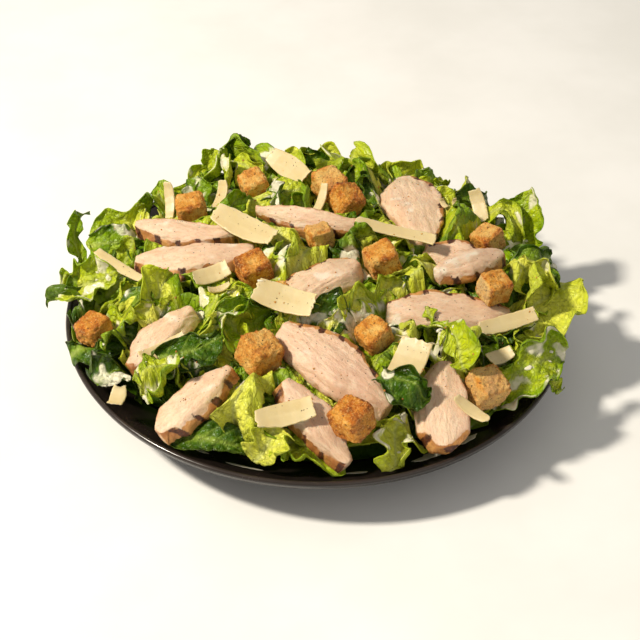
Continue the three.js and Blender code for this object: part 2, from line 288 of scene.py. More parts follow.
def bowl_rings():
    """Radius and height of each ring, from the foot, over the lip, to the middle of the well."""
    rings = [(58, 1.6), (64, 1.2), (66, 0), (74, 0), (77.4, 0.3), (78.4, 0.9)]
    rings.append((WALL_START, WALL_BASE))
    for step in range(1, 15):
        part = step / 14
        rise = WALL_RISE * (part * WALL_WIDTH / FULL_FLARE) ** FLARE
        rings.append((WALL_START + WALL_WIDTH * part, WALL_BASE + rise))
    lip_radius, lip_height = RIM_RADIUS - LIP_RADIUS, BOWL_HEIGHT - LIP_RADIUS
    for angle in range(-60, 181, 30):
        turn = math.radians(angle)
        rings.append((lip_radius + LIP_RADIUS * math.cos(turn), lip_height + LIP_RADIUS * math.sin(turn)))
    for step in range(1, 13):
        radius = INNER_LIP - (INNER_LIP - WELL_RADIUS) * step / 12
        rings.append((radius, float(inside_height(radius))))
    return rings + [(70, 5.9), (45, 5.7), (20, 5.6), (4, 5.6)]


print("bowl rings:", len(bowl_rings()))

# %% Bowl mesh
def ring_out(old, new):
    """Extrudes the selected disc, then scales and lifts it, in mm. Its edge leaves a ring of wall."""
    bpy.ops.mesh.extrude_region()
    factor = new[0] / old[0]
    middle = (0, 0, old[1] * MM)
    bpy.ops.transform.resize(value=(factor, factor, 1), center_override=middle)
    bpy.ops.transform.translate(value=(0, 0, (new[1] - old[1]) * MM))


clear_selection()
rings = bowl_rings()
start = rings[0]
bpy.ops.mesh.primitive_circle_add(
    vertices=BOWL_SIDES, radius=start[0] * MM, fill_type="NGON", location=(0, 0, start[1] * MM)
)
bowl = bpy.context.object
bowl.name = "dark_bowl"
bpy.ops.object.transform_apply(location=True, rotation=True, scale=True)
bpy.ops.object.mode_set(mode="EDIT")
bpy.ops.mesh.select_all(action="SELECT")
for old, new in itertools.pairwise(rings):
    ring_out(old, new)
bpy.ops.mesh.select_all(action="SELECT")
bpy.ops.mesh.normals_make_consistent(inside=False)
bpy.ops.object.mode_set(mode="OBJECT")
bpy.ops.object.shade_smooth_by_angle(angle=math.radians(40))
bowl_size = [round(side / MM, 1) for side in bowl.dimensions]
print("bowl:", len(bowl.data.polygons), "faces,", bowl_size, "mm")

# %% [markdown]
# ## Glaze
# The glaze is a near-black brown with a satin gloss. On a real bowl it breaks to a warmer brown where
# it runs thin over the lip, it is finely speckled, and the foot is left unglazed and rougher. The
# height of a point, in object coordinates, says which of these it is.

# %% Glaze
glaze, tree, shader = new_finish("dark glaze")
place = add_node(tree, "TexCoord").outputs["Object"]
split = add_node(tree, "SeparateXYZ")
tree.links.new(place, split.inputs["Vector"])
lip_wear = ramp(tree, split.outputs["Z"], 0.0285, 0.0298)
streaks = noise_on(tree, place, 38, 5, 0.7)
specks = ramp(tree, noise_on(tree, place, 900, 2), 0.66, 0.74)
body = blend(tree, ramp(tree, streaks, 0.35, 0.7), paint(26, 21, 19), paint(40, 32, 28))
body = blend(tree, times(tree, specks, 0.35), body, paint(96, 76, 60))
body = blend(tree, times(tree, lip_wear, 0.55), body, paint(62, 52, 46))
foot = ramp(tree, split.outputs["Z"], 0.0012, 0.0004)
body = blend(tree, foot, body, paint(120, 98, 80))
tree.links.new(body, shader.inputs["Base Color"])
gloss = ramp(tree, streaks, 0.3, 0.75, 0.16, 0.3)
gloss = sum_of(tree, "MAXIMUM", gloss, times(tree, foot, 0.85))
tree.links.new(gloss, shader.inputs["Roughness"])
waves = noise_on(tree, place, 60, 2)
tree.links.new(bump_from(tree, waves, 0.12, 0.001), shader.inputs["Normal"])
bowl.data.materials.append(glaze)
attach(bowl, "root")
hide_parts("bowl")
print("glaze nodes:", len(tree.nodes))

# %% [markdown]
# ## Where there is room for leaves
# The leaves fill the space under and between the toppings. From above, the whole salad is read into a
# grid: how low each topping reaches, and how high. A leaf stays under the first, and the few leaves
# that lie over a topping stay above the second. Beside a topping a leaf may rise at a slope.

# %% Grid over the salad
GRID = 2.0
REACH = 158
CELLS = int(2 * REACH / GRID) + 1
toppings = [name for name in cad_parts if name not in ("bowl", "lettuce_heap")]


def cell_of(value):
    """The row or column of the grid that holds a place in mm."""
    return np.clip(np.rint((value + REACH) / GRID).astype(int), 0, CELLS - 1)


def points_on(name):
    """Points close together all over a piece of the model, in mm."""
    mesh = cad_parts[name].data
    mesh.calc_loop_triangles()
    places = np.empty(len(mesh.vertices) * 3)
    mesh.vertices.foreach_get("co", places)
    corners = np.empty(len(mesh.loop_triangles) * 3, np.int32)
    mesh.loop_triangles.foreach_get("vertices", corners)
    triangles = places.reshape(-1, 3)[corners.reshape(-1, 3)] / MM
    steps = np.array([(a / 16, b / 16) for a in range(17) for b in range(17 - a)])
    first = steps[:, 0][None, :, None]
    second = steps[:, 1][None, :, None]
    spread = triangles[:, None, 0] * (1 - first - second)
    spread = spread + triangles[:, None, 1] * first + triangles[:, None, 2] * second
    return spread.reshape(-1, 3)


topping_low = np.full((CELLS, CELLS), 400.0)
topping_high = np.full((CELLS, CELLS), -400.0)
for name in toppings:
    points = points_on(name)
    cells = (cell_of(points[:, 0]), cell_of(points[:, 1]))
    np.minimum.at(topping_low, cells, points[:, 2])
    np.maximum.at(topping_high, cells, points[:, 2])
print("grid cells under toppings:", int((topping_low < 300).sum()), "of", CELLS * CELLS)

# %% Limits beside the toppings
def spread_from(grid, slope, margin, reach):
    """The grid lowered round each of its low places, rising again at that slope."""
    result = grid.copy()
    count = int(reach / GRID)
    for step_x in range(-count, count + 1):
        for step_y in range(-count, count + 1):
            distance = GRID * math.hypot(step_x, step_y)
            if distance <= reach:
                moved = np.roll(grid, (step_x, step_y), (0, 1))
                result = np.minimum(result, moved + slope * max(0, distance - margin))
    return result


def read_grid(grid, x, y):
    """The grid's value between its cells, at places in mm."""
    column = np.clip((x + REACH) / GRID, 0, CELLS - 1.001)
    row = np.clip((y + REACH) / GRID, 0, CELLS - 1.001)
    left = column.astype(int)
    near = row.astype(int)
    across = column - left
    along = row - near
    low = grid[left, near] * (1 - across) + grid[left + 1, near] * across
    high = grid[left, near + 1] * (1 - across) + grid[left + 1, near + 1] * across
    return low * (1 - along) + high * along


leaf_ceiling = spread_from(topping_low, 2.1, 0.5, 16)
over_floor = -spread_from(-topping_high, 3.0, 2.5, 6)
print("ceiling at the middle, mm:", round(float(read_grid(leaf_ceiling, np.zeros(1), np.zeros(1))[0])))

# %% [markdown]
# ## Noise for shaping
# Leaves, meat and bread all need uneven surfaces. A lattice of fixed random heights, smoothed between
# its corners, gives the same lumps on every run and can be stretched along a leaf or a fibre.

# %% Lattice noise
def lumps(points, size, seed):
    """Smooth noise from -1 to 1 at points in mm, with lumps of about that size, or size per axis."""
    spot = points / np.asarray(size, float) + seed * 7.31 + 1000
    corner = np.floor(spot).astype(np.int64)
    part = spot - corner
    part = part * part * (3 - 2 * part)
    total = np.zeros(len(points))
    for near in itertools.product((0, 1), repeat=3):
        key = corner + np.array(near)
        mixed = key[:, 0] * 73856093 ^ key[:, 1] * 19349663 ^ key[:, 2] * 83492791
        mixed = (mixed ^ (mixed >> 13)) * 1274126177 & 0xFFFFFF
        weight = np.prod(np.where(np.array(near) == 1, part, 1 - part), axis=1)
        total += weight * (mixed / 0x7FFFFF - 1)
    return total


def soft_step(value, low, high):
    """0 below low, 1 above high, and a smooth rise between."""
    part = np.clip((value - low) / (high - low), 0, 1)
    return part * part * (3 - 2 * part)


sample = lumps(np.random.default_rng(1).uniform(0, 90, (500, 3)), 9, 3)
print("noise runs from", round(float(sample.min()), 2), "to", round(float(sample.max()), 2))

# %% [markdown]
# ## Romaine, leaf by leaf
# A torn piece of romaine is a thin sheet with a stiff midrib, side veins that leave it at an angle,
# puffed skin between the veins, and an edge that is longer than the leaf and so falls in ruffles.
# Each leaf is a small grid of points. Its rows run along the midrib and its columns across. The grid
# is first given an outline, then rolled, bent and ruffled, then laid in the heap, and last given its
# thickness. Habits below say how strongly a leaf does each of these.

# %% Leaf habits
HABITS = {
    "flat": dict(bend=-38, cup=24, fold=0, curl=(30, 45), ruffle=2.2, puff=1.0, crumple=4.2, crease=20),
    "cupped": dict(bend=42, cup=62, fold=0, curl=(30, 35), ruffle=2.0, puff=1.0, crumple=3.6, crease=15),
    "folded": dict(bend=-24, cup=10, fold=48, curl=(0, 40), ruffle=2.2, puff=0.9, crumple=3.4, crease=34),
    "rolled": dict(bend=-26, cup=12, fold=0, curl=(20, 175), ruffle=1.7, puff=0.8, crumple=3.0, crease=12),
    "frill": dict(bend=-34, cup=30, fold=16, curl=(95, 80), ruffle=3.6, puff=1.25, crumple=4.6, crease=28),
    "smooth": dict(bend=-44, cup=-34, fold=0, curl=(-14, -16), ruffle=0.7, puff=0.45, crumple=1.6, crease=0),
    "blade": dict(bend=-24, cup=16, fold=0, curl=(75, 14), ruffle=1.0, puff=0.6, crumple=2.0, crease=8),
}
print("habits:", ", ".join(HABITS))

# %% Leaf outline
def outline(along, draw):
    """Half the width at each row, as a share of the widest, for one side of a torn piece."""
    base = draw.uniform(0.45, 0.85)
    swell = base + (1 - base) * soft_step(along, 0.0, 0.5)
    tip_start = draw.uniform(0.5, 0.72)
    tip = np.sqrt(np.clip(1 - ((along - tip_start) / (1.0 - tip_start)).clip(0) ** 2, 0.004, 1))
    waves = sum(
        size * draw.uniform(0.4, 1.0) * np.sin(2 * math.pi * (along * count + draw.uniform()))
        for count, size in ((1, 0.1), (2, 0.08), (3, 0.05), (5, 0.03))
    )
    return swell * tip * (1 + waves)


print("a half outline:", np.round(outline(np.linspace(0, 1, 5), np.random.default_rng(4)), 2))

# %% Leaf veins
def vein_pattern(x, y, half, rib, draw):
    """How much of each point is vein, from 0 to 1, and how far the skin between veins puffs up."""
    spacing = draw.uniform(6.5, 9.5)
    spots = np.stack([x, y, np.zeros_like(x)], -1).reshape(-1, 3)
    wobble = lumps(spots, 9, draw.integers(1000)).reshape(x.shape)
    run = x - 0.85 * np.abs(y) - 0.012 * y * y + 1.6 * wobble
    phase = (run / spacing + np.where(y > 0, 0.0, 0.45)) % 1
    side = np.exp(-(((phase - 0.5) * spacing / 0.75) ** 2)) * (1 - 0.55 * (np.abs(y) / half) ** 2)
    share = (x - x.min()) / (x.max() - x.min())
    middle = np.exp(-((y / (rib * (1.25 - 0.8 * share))) ** 2))
    puffed = np.sin(math.pi * ((phase + 0.5) % 1)) * (1 - middle)
    ribbed = np.stack([run, np.abs(y), np.sign(y) * 5], -1).reshape(-1, 3)
    fine = lumps(ribbed, (2.8, 6.5, 9), draw.integers(1000)).reshape(x.shape)
    finer = lumps(spots, 2.6, draw.integers(1000)).reshape(x.shape)
    relief = 0.8 * puffed + 0.95 * fine * (1 - middle) + 0.35 * finer
    return np.maximum(middle, 0.75 * side), middle, relief


print("vein helper ready")

# %% Leaf sheet
def leaf_sheet(draw, habit, length, width, rows, columns):
    """The middle of a leaf's thickness as rows by columns of points in mm, with its vein masks."""
    way = HABITS[habit]
    even = np.linspace(0, 1, rows)
    along = (0.45 * even + 0.55 * np.sin(even * math.pi / 2))[:, None] * np.ones((1, columns))
    across = np.sin(np.linspace(-1, 1, columns) * 1.15)[None, :] / math.sin(1.15) * np.ones((rows, 1))
    half = np.where(across > 0, outline(along, draw), outline(along, draw)) * width / 2
    y = across * half
    ends = np.stack([along * 2, y, across], -1).reshape(-1, 3)
    torn = lumps(ends, 6, draw.integers(1000)).reshape(along.shape) * (1 - along) ** 3
    x = length * (along - 0.5) + 3.2 * torn
    rib = draw.uniform(0.8, 1.5) * (1.6 if habit == "blade" else 1)
    veins, middle, relief = vein_pattern(x, y, np.maximum(half, 1), rib, draw)

    edge = np.abs(across)
    wander = 0.6 + 0.4 * np.sin(2 * math.pi * (along * draw.uniform(0.6, 1.4) + draw.uniform()))
    left = np.radians(way["curl"][0]) * soft_step(-across, 0.3, 1.0) * wander
    right = np.radians(way["curl"][1]) * soft_step(across, 0.3, 1.0) * wander[::-1]
    slope = np.radians(way["cup"]) * across + right - left
    slope = slope + np.radians(way["fold"]) * np.tanh(across / 0.1)
    step = np.diff(y, axis=1)
    mean_slope = (slope[:, 1:] + slope[:, :-1]) / 2
    flat = np.zeros((rows, 1))
    out = np.concatenate([flat, np.cumsum(np.cos(mean_slope) * step, 1)], 1)
    up = np.concatenate([flat, np.cumsum(np.sin(mean_slope) * step, 1)], 1)
    centre = columns // 2
    out = out - out[:, centre : centre + 1]
    up = up - up[:, centre : centre + 1]

    wave = draw.uniform(13.0, 21.0)
    phase = 2 * math.pi * x / wave + np.where(across > 0, draw.uniform(0, 6), draw.uniform(0, 6))
    phase = phase + 2.4 * lumps(ends, 14, draw.integers(1000)).reshape(along.shape)
    frill = way["ruffle"] * edge**2.0 * np.clip(half / (0.3 * width), 0, 1)
    lift = frill * np.sin(phase) + way["puff"] * relief * np.clip(half / (0.2 * width), 0, 1)
    push = 0.3 * frill * np.cos(phase) * np.sign(across)

    arc = np.radians(way["bend"]) * (along - 0.5)
    arc = arc + np.radians(draw.uniform(-18, 18)) * np.sin(math.pi * 2 * along)
    sharp = np.radians(draw.choice([-1, 1]) * draw.uniform(0.5, 1.3) * way["crease"])
    arc = arc + sharp * np.tanh((along - draw.uniform(0.3, 0.7) - 0.15 * across) / 0.07)
    run = length * np.diff(along, axis=0)
    mean_arc = (arc[1:] + arc[:-1]) / 2
    flat = np.zeros((1, columns))
    spine_x = np.concatenate([flat, np.cumsum(np.cos(mean_arc) * run, 0)], 0)
    spine_z = np.concatenate([flat, np.cumsum(np.sin(mean_arc) * run, 0)], 0)
    spine_x = spine_x - spine_x[rows // 2, 0] + 3.2 * torn
    spine_z = spine_z - spine_z[rows // 2, 0]
    tall = up + lift * np.cos(slope)
    wide = out + push - lift * np.sin(slope)
    twist = np.radians(draw.uniform(-16, 16)) * (along - 0.5)
    side = wide * np.cos(twist) - tall * np.sin(twist)
    rise = wide * np.sin(twist) + tall * np.cos(twist)
    points = np.stack([spine_x - rise * np.sin(arc), side, spine_z + rise * np.cos(arc)], -1)
    spots = points.reshape(-1, 3)
    for axis in range(3):
        shift = lumps(spots, 18, draw.integers(1000)) * way["crumple"]
        shift = shift + lumps(spots, 8, draw.integers(1000)) * way["crumple"] * 0.32
        points[..., axis] += (0.45, 0.45, 1.0)[axis] * shift.reshape(rows, columns)
    flat_place = np.stack([x, y, np.zeros_like(x)], -1)
    return points, flat_place, veins, middle, edge, along


test_sheet = leaf_sheet(np.random.default_rng(5), "frill", 50, 30, 30, 18)[0]
print("a frilled leaf spans", np.round(np.ptp(test_sheet.reshape(-1, 3), axis=0)), "mm")

# %% [markdown]
# ## Laying a leaf in the heap
# The heap is a low dome. A leaf is turned, pitched and rolled on the dome's own slope, pressed under
# the toppings' ceiling, and kept above the bowl. Each leaf keeps a small gap of its own, so that
# leaves under one topping stay layered and don't merge into one flat sheet.

# %% Dome and resting places
HEAP_TOP = 62
HEAP_FALL = 33
HEAP_RADIUS = 150
HEAP_REACH = 165
BOWL_INSIDE = 137
LEAF_CLEARANCE = 0.9


def heap_height(x, y):
    """Height of the heap's rounded top, in mm."""
    return HEAP_TOP - HEAP_FALL * (np.minimum(np.hypot(x, y), HEAP_REACH) / HEAP_RADIUS) ** 2.2


def bowl_floor(x, y):
    """The lowest place that a leaf may take: the well, the lip, or the air outside the bowl."""
    radius = np.hypot(x, y)
    inside = inside_height(np.minimum(radius, BOWL_INSIDE)) + LEAF_CLEARANCE
    outside = 31.2 - 0.9 * np.clip(radius - 142, 0, 30)
    return np.where(radius < BOWL_INSIDE, inside, outside)


def heap_edge(angle):
    """How far the heap reaches in that direction, in mm."""
    wave = 7 * np.cos(2 * angle) + 5 * np.sin(angle) + 3 * np.cos(5 * angle + 2)
    return 132 + wave + 3 * np.cos(9 * angle) + 2 * np.sin(14 * angle)


def turn_matrix(x, y, turn, pitch, roll):
    """The turn that lays a leaf on the dome's slope and then swings it by its own three angles."""
    east = float(heap_height(x + 1, y) - heap_height(x - 1, y)) / 2
    north = float(heap_height(x, y + 1) - heap_height(x, y - 1)) / 2
    normal = Vector((-0.85 * east, -0.85 * north, 1)).normalized()
    slope = Vector((0, 0, 1)).rotation_difference(normal).to_matrix()
    swing = Matrix.Rotation(math.radians(turn), 3, "Z")
    swing = swing @ Matrix.Rotation(math.radians(-pitch), 3, "Y")
    return np.array(slope @ swing @ Matrix.Rotation(math.radians(roll), 3, "X"))


def lay(points, x, y, lift, turn, pitch, roll, gap, over, spill):
    """The sheet in its place in the heap, pressed clear of toppings and bowl."""
    shape = points.shape
    laid = points.reshape(-1, 3) @ turn_matrix(x, y, turn, pitch, roll).T
    laid = laid + np.array([x, y, float(heap_height(x, y)) + lift])
    radius = np.maximum(np.hypot(laid[:, 0], laid[:, 1]), 1)
    limit = heap_edge(np.arctan2(laid[:, 1], laid[:, 0])) + spill
    held = limit - 3 * np.logaddexp(0, (limit - radius) / 3)
    laid[:, :2] *= (held / radius)[:, None]
    if over:
        rest = read_grid(over_floor, laid[:, 0], laid[:, 1]) + gap
        above = laid[:, 2] - rest
        laid[:, 2] = rest + np.where(above > 3, above, 3 * np.exp((above - 3) / 3))
    else:
        ceiling = read_grid(leaf_ceiling, laid[:, 0], laid[:, 1]) - gap
        below = (ceiling - laid[:, 2]) / 1.5
        laid[:, 2] = ceiling - 1.5 * np.logaddexp(0, below)
    rest = bowl_floor(laid[:, 0], laid[:, 1])
    laid[:, 2] = np.maximum(laid[:, 2], rest + 0.3 * gap)
    return laid.reshape(shape)


print("dome height at the rim, mm:", round(float(heap_height(132, 0)), 1))

# %% [markdown]
# ## Thickness and colour masks
# A leaf is about half a millimetre thick, and two or three times that at its midrib. The sheet is
# copied to both sides and the copies are joined along the edge, so each leaf is closed. Four masks go with
# every point for the finish: tone (0 dark outer leaf, 1 yellow heart), vein, dressing, and which side
# the point is on. Thick dressing also stands up a little from the skin.

# %% Joined pieces
class Pile:
    """Collects many small closed shapes that become one piece."""

    def __init__(self, name):
        self.name = name
        self.places = []
        self.faces = []
        self.masks = []
        self.flats = []
        self.count = 0

    def add(self, places, faces, masks, flats):
        self.places.append(places)
        self.faces.append(faces + self.count)
        self.masks.append(masks)
        self.flats.append(flats)
        self.count += len(places)

    def build(self):
        """One object from all the shapes, in metres, with its masks as attributes."""
        places = np.concatenate(self.places) * MM
        faces = np.concatenate(self.faces)
        mesh = bpy.data.meshes.new(self.name)
        mesh.vertices.add(len(places))
        mesh.vertices.foreach_set("co", places.ravel())
        mesh.loops.add(faces.size)
        mesh.loops.foreach_set("vertex_index", faces.ravel().astype(np.int32))
        mesh.polygons.add(len(faces))
        sides = faces.shape[1]
        mesh.polygons.foreach_set("loop_start", np.arange(0, faces.size, sides, dtype=np.int32))
        mesh.update(calc_edges=True)
        mesh.polygons.foreach_set("use_smooth", np.ones(len(faces), bool))
        masks = mesh.attributes.new("masks", "FLOAT_COLOR", "POINT")
        masks.data.foreach_set("color", np.concatenate(self.masks).ravel())
        flats = mesh.attributes.new("flat", "FLOAT_VECTOR", "POINT")
        flats.data.foreach_set("vector", (np.concatenate(self.flats) * MM).ravel())
        mesh.validate()
        piece = bpy.data.objects.new(self.name, mesh)
        bpy.context.collection.objects.link(piece)
        return piece


print("pile ready")

# %% Closed leaf
def shell_faces(rows, columns):
    """Faces of a closed sheet whose upper points come first and lower points second."""
    index = np.arange(rows * columns).reshape(rows, columns)
    corner = (index[:-1, :-1], index[1:, :-1], index[1:, 1:], index[:-1, 1:])
    upper = np.stack([part.ravel() for part in corner], 1)
    lower = upper[:, ::-1] + rows * columns
    loop = np.concatenate([index[:-1, 0], index[-1, :-1], index[:0:-1, -1], index[0, :0:-1]])
    after = np.roll(loop, -1)
    below = rows * columns
    rim = np.stack([loop + below, after + below, after, loop], 1)
    return np.concatenate([upper, lower, rim])


def sheet_normals(points):
    """The upward normal at each point of a grid of points."""
    along = np.gradient(points, axis=0)
    across = np.gradient(points, axis=1)
    normal = np.cross(along, across)
    return normal / np.maximum(np.linalg.norm(normal, axis=-1, keepdims=True), 1e-6)


HALF_BLADE = 0.22
DRESSING_FILM = 0.55


def add_leaf(pile, draw, spot, pose, size, tone, habit, cream, over=False, spill=0, grid=(50, 29)):
    """Makes one leaf, lays it and adds it to a pile."""
    rows, columns = grid
    points, flat, veins, middle, edge, along = leaf_sheet(draw, habit, *size, rows, columns)
    gap = draw.uniform(0.6, 3.0)
    laid = lay(points, *spot, *pose, gap, over, spill)
    normal = sheet_normals(laid)
    coat = lumps(laid.reshape(-1, 3), 9, 71) + 0.5 * lumps(laid.reshape(-1, 3), 4, 72)
    coat = soft_step(coat.reshape(rows, columns), 0.8 - 1.0 * cream, 1.15 - 0.8 * cream)
    if cream <= 0:
        coat = coat * 0.0
    rib = middle * (0.9 if habit == "blade" else 0.6) * (1.1 - 0.7 * along)
    upper = laid + normal * (HALF_BLADE + DRESSING_FILM * coat)[..., None]
    lower = laid - normal * (HALF_BLADE + rib)[..., None]
    local = tone + 0.22 * (1 - edge) * (1 - along) - 0.10 * edge**2
    local = local + 0.10 * lumps(points.reshape(-1, 3), 12, draw.integers(1000)).reshape(rows, columns)
    masks = np.stack([np.clip(local, 0, 1), veins, coat, np.ones_like(coat)], -1)
    under = masks.copy()
    under[..., 2] *= 0.0
    under[..., 3] = 0
    places = np.concatenate([upper.reshape(-1, 3), lower.reshape(-1, 3)])
    masks = np.concatenate([masks.reshape(-1, 4), under.reshape(-1, 4)])
    flats = flat.reshape(-1, 3) + np.array([0, 0, 10.0 * draw.integers(50)])
    pile.add(places, shell_faces(rows, columns), masks, np.concatenate([flats, flats]))


print("faces of one leaf:", len(shell_faces(50, 29)))

# %% [markdown]
# ## The leaves that show most
# The leaves on top are placed one by one: dark outer leaves at the left and behind, yellow hearts in
# the middle and at the front, and a few that stick out over the rim. A row gives place, lift and the
# three angles, then length, width, tone, habit, dressing, and whether the leaf lies over a topping or
# sticks out past the heap as a tip.

# %% Leaves on top
TOP_LEAVES = (
    (-48, 117, 6, 88, 62, 0, 50, 24, 0.10, "cupped", 0.0, "tip"),
    (-68, 104, 9, 40, 30, 34, 46, 34, 0.62, "frill", 0.7, ""),
    (-37, 115, 7, 70, 40, 0, 30, 24, 0.84, "flat", 0.0, ""),
    (-18, 62, 6, 14, 5, 34, 46, 32, 0.66, "smooth", 0.0, ""),
    (14, 113, 2, 4, 0, 48, 54, 30, 0.92, "frill", 0.0, ""),
    (33, 82, 5, 70, 30, 0, 28, 24, 0.10, "cupped", 0.0, ""),
    (62, 106, 3, 5, 5, 44, 50, 30, 0.78, "frill", 0.5, ""),
    (78, 46, 7, 80, 42, 10, 54, 26, 0.36, "folded", 0.2, ""),
    (119, 58, 7, 82, 38, -10, 62, 34, 0.52, "cupped", 0.6, "tip"),
    (-141, 50, 10, 95, 52, 0, 46, 15, 0.46, "folded", 0.2, "tip"),
    (-104, 29, 4, -2, 4, 20, 48, 28, 0.30, "rolled", 0.6, ""),
    (-120, -9, 5, 6, 6, 30, 38, 32, 0.60, "cupped", 0.85, ""),
    (-138, -14, 4, 192, 2, 20, 34, 18, 0.16, "folded", 0.2, "tip"),
    (-97, -18, 6, 56, 18, 20, 42, 22, 0.80, "frill", 0.25, ""),
    (-82, -28, 6, 58, 20, 14, 44, 22, 0.72, "frill", 0.35, ""),
    (-106, -50, 5, 18, 4, 24, 52, 28, 0.10, "rolled", 0.0, ""),
    (-105, -76, 4, 20, 0, 20, 38, 26, 0.10, "cupped", 1.0, ""),
    (-84, -90, 7, 40, 6, 26, 56, 28, 0.62, "frill", 0.55, "over"),
    (-60, -73, 7, 22, 2, 20, 38, 24, 0.12, "rolled", 0.1, "over"),
    (-43, -43, 7, 28, 6, 20, 52, 28, 0.46, "frill", 0.4, ""),
    (-6, -1, 6, 56, 14, 20, 46, 30, 0.78, "frill", 0.0, ""),
    (40, -27, 6, 40, 8, 20, 64, 26, 0.72, "frill", 0.1, ""),
    (8, -51, 4, -8, 2, 20, 38, 26, 0.12, "cupped", 0.5, ""),
    (-34, -97, 9, 72, 40, 6, 52, 40, 0.88, "folded", 0.0, ""),
    (-18, -120, 6, 54, 30, 14, 40, 28, 0.98, "cupped", 0.0, "tip"),
    (2, -126, 4, 4, 4, 30, 46, 30, 0.60, "frill", 0.1, "tip"),
    (-46, -121, 0, -16, 0, 16, 46, 22, 0.08, "blade", 0.0, "tip"),
    (44, -114, 9, 84, 36, 6, 52, 32, 0.76, "frill", 0.6, "tip"),
    (48, -99, 8, -28, 4, 20, 32, 26, 0.10, "cupped", 0.3, "over"),
    (34, -76, 5, 42, 8, 20, 30, 22, 0.46, "cupped", 0.0, ""),
    (52, -49, 5, -38, 2, 20, 40, 26, 0.32, "cupped", 0.75, ""),
    (70, -70, 8, -70, 2, 0, 60, 14, 0.58, "folded", 0.4, "over"),
    (97, -46, 6, 12, 2, 24, 50, 24, 0.12, "frill", 0.0, ""),
    (114, -65, 6, 36, 8, 22, 52, 38, 0.48, "cupped", 0.95, "tip"),
    (135, -72, 3, -22, 6, 20, 26, 13, 0.66, "folded", 0.0, "tip"),
    (124, -22, 12, 46, 12, 34, 70, 44, 0.86, "frill", 0.1, "tip"),
    (118, 8, 6, 50, 8, 14, 58, 30, 0.24, "rolled", 0.4, "tip"),
)

draw = np.random.default_rng(2026)
piles = {name: Pile(name + "_leaves") for name in ("dark", "green", "light", "heart", "hidden")}


def pile_for(tone):
    """The pile that a leaf of this tone belongs to."""
    for limit, name in ((0.25, "dark"), (0.5, "green"), (0.72, "light")):
        if tone < limit:
            return piles[name]
    return piles["heart"]


for row in TOP_LEAVES:
    spot, pose, size = row[:2], row[2:6], row[6:8]
    tone, habit, cream, way = row[8:]
    spill = 12 if way == "tip" else 4
    add_leaf(pile_for(tone), draw, spot, pose, size, tone, habit, cream, way == "over", spill)
print("leaves on top:", len(TOP_LEAVES))

# %% [markdown]
# ## The leaves between and below
# Everything between is filled at random but evenly: the places follow a sunflower spiral, which never
# leaves gaps. Near the rim the leaves point outwards, so the outline of the heap is ragged.

# %% Leaves between
GOLDEN_TURN = 137.508


def scatter(count, inner, low, high, tilt, grid, choose):
    """Fills the heap with leaves in a spiral, at lifts from low to high over the dome."""
    for number in range(count):
        angle = math.radians(number * GOLDEN_TURN) % (2 * math.pi)
        share = math.sqrt(inner**2 + (1 - inner**2) * (number + 0.5) / count)
        reach = share * (heap_edge(angle) - 9)
        x = reach * math.cos(angle) + draw.uniform(-4, 4)
        y = reach * math.sin(angle) + draw.uniform(-4, 4)
        outward = math.degrees(angle) + draw.uniform(-60, 60)
        turn = outward if share > 0.75 else draw.uniform(0, 360)
        pose = (draw.uniform(low, high), turn, draw.uniform(-tilt, tilt), draw.uniform(-tilt, tilt))
        length = draw.uniform(26, 48)
        size = (length, length * draw.uniform(0.5, 0.8))
        tone, pile = choose(x, y)
        habit = draw.choice(["flat", "cupped", "folded", "rolled", "frill", "frill"])
        cream = draw.choice([0, 0.25, 0.5, 0.75])
        add_leaf(pile, draw, (x, y), pose, size, tone, habit, cream, spill=-2, grid=grid)


def tone_at(x, y):
    """Darker leaves at the left and behind, lighter ones in front and on the right."""
    middle = 0.62 + 0.0010 * x - 0.0004 * y
    tone = float(np.clip(middle + draw.normal(0, 0.27), 0.05, 0.97))
    return tone, pile_for(tone)


# The lowest layer gets darker tones than the leaves above it: painted shade under the heap.
scatter(90, 0.0, -17, -11, 24, (22, 13), lambda x, y: (draw.uniform(0.05, 0.4), piles["hidden"]))
scatter(120, 0.0, -8, -1, 38, (24, 15), tone_at)
scatter(130, 0.15, -2, 5, 52, (30, 17), tone_at)
for pile in piles.values():
    print(pile.name, sum(len(part) for part in pile.faces) * 2, "triangles")

# %% [markdown]
# ## Core of the heap
# Below the leaves the heap is solid with crushed lettuce that only shows as dark gaps. A round mesh is
# enough: a sphere is flattened, and its points are then pressed between the bowl and the leaves.

# %% Core
clear_selection()
bpy.ops.mesh.primitive_uv_sphere_add(segments=96, ring_count=48, radius=0.1)
core = bpy.context.object
core.name = "lettuce_core"
count = len(core.data.vertices)
places = np.empty(count * 3)
core.data.vertices.foreach_get("co", places)
places = places.reshape(-1, 3) / MM / 100
angle = np.arctan2(places[:, 1], places[:, 0])
share = np.hypot(places[:, 0], places[:, 1]).clip(0, 1)
reach = (share * 0.6 + 0.4 * share**2) * (heap_edge(angle) - 14)
x = reach * np.cos(angle)
y = reach * np.sin(angle)
crush = 2.6 * lumps(np.stack([x, y, 0 * x], 1), 11, 5) + 1.4 * lumps(np.stack([x, y, 0 * x], 1), 5, 6)
top = np.minimum(heap_height(x, y) - 15 + crush, read_grid(leaf_ceiling, x, y) - 7)
bottom = inside_height(np.minimum(reach, 134)) + 0.8
level = (places[:, 2] + 1) / 2
edge_fall = soft_step(share, 1.0, 0.85)
z = bottom + np.maximum(top - bottom, 0.5) * level * edge_fall
core.data.vertices.foreach_set("co", (np.stack([x, y, z], 1) * MM).ravel())
core.data.update()
clear_selection()
core.select_set(True)
bpy.context.view_layer.objects.active = core
bpy.ops.object.shade_smooth()
masks = core.data.attributes.new("masks", "FLOAT_COLOR", "POINT")
# The core takes a dark leaf tone as painted shade in the gaps between the leaves.
masks.data.foreach_set("color", np.tile([0.12, 0.1, 0.0, 1.0], (count, 1)).ravel())
print("core is", round(core.dimensions.x / MM), "mm wide and", round(core.dimensions.z / MM), "mm high")

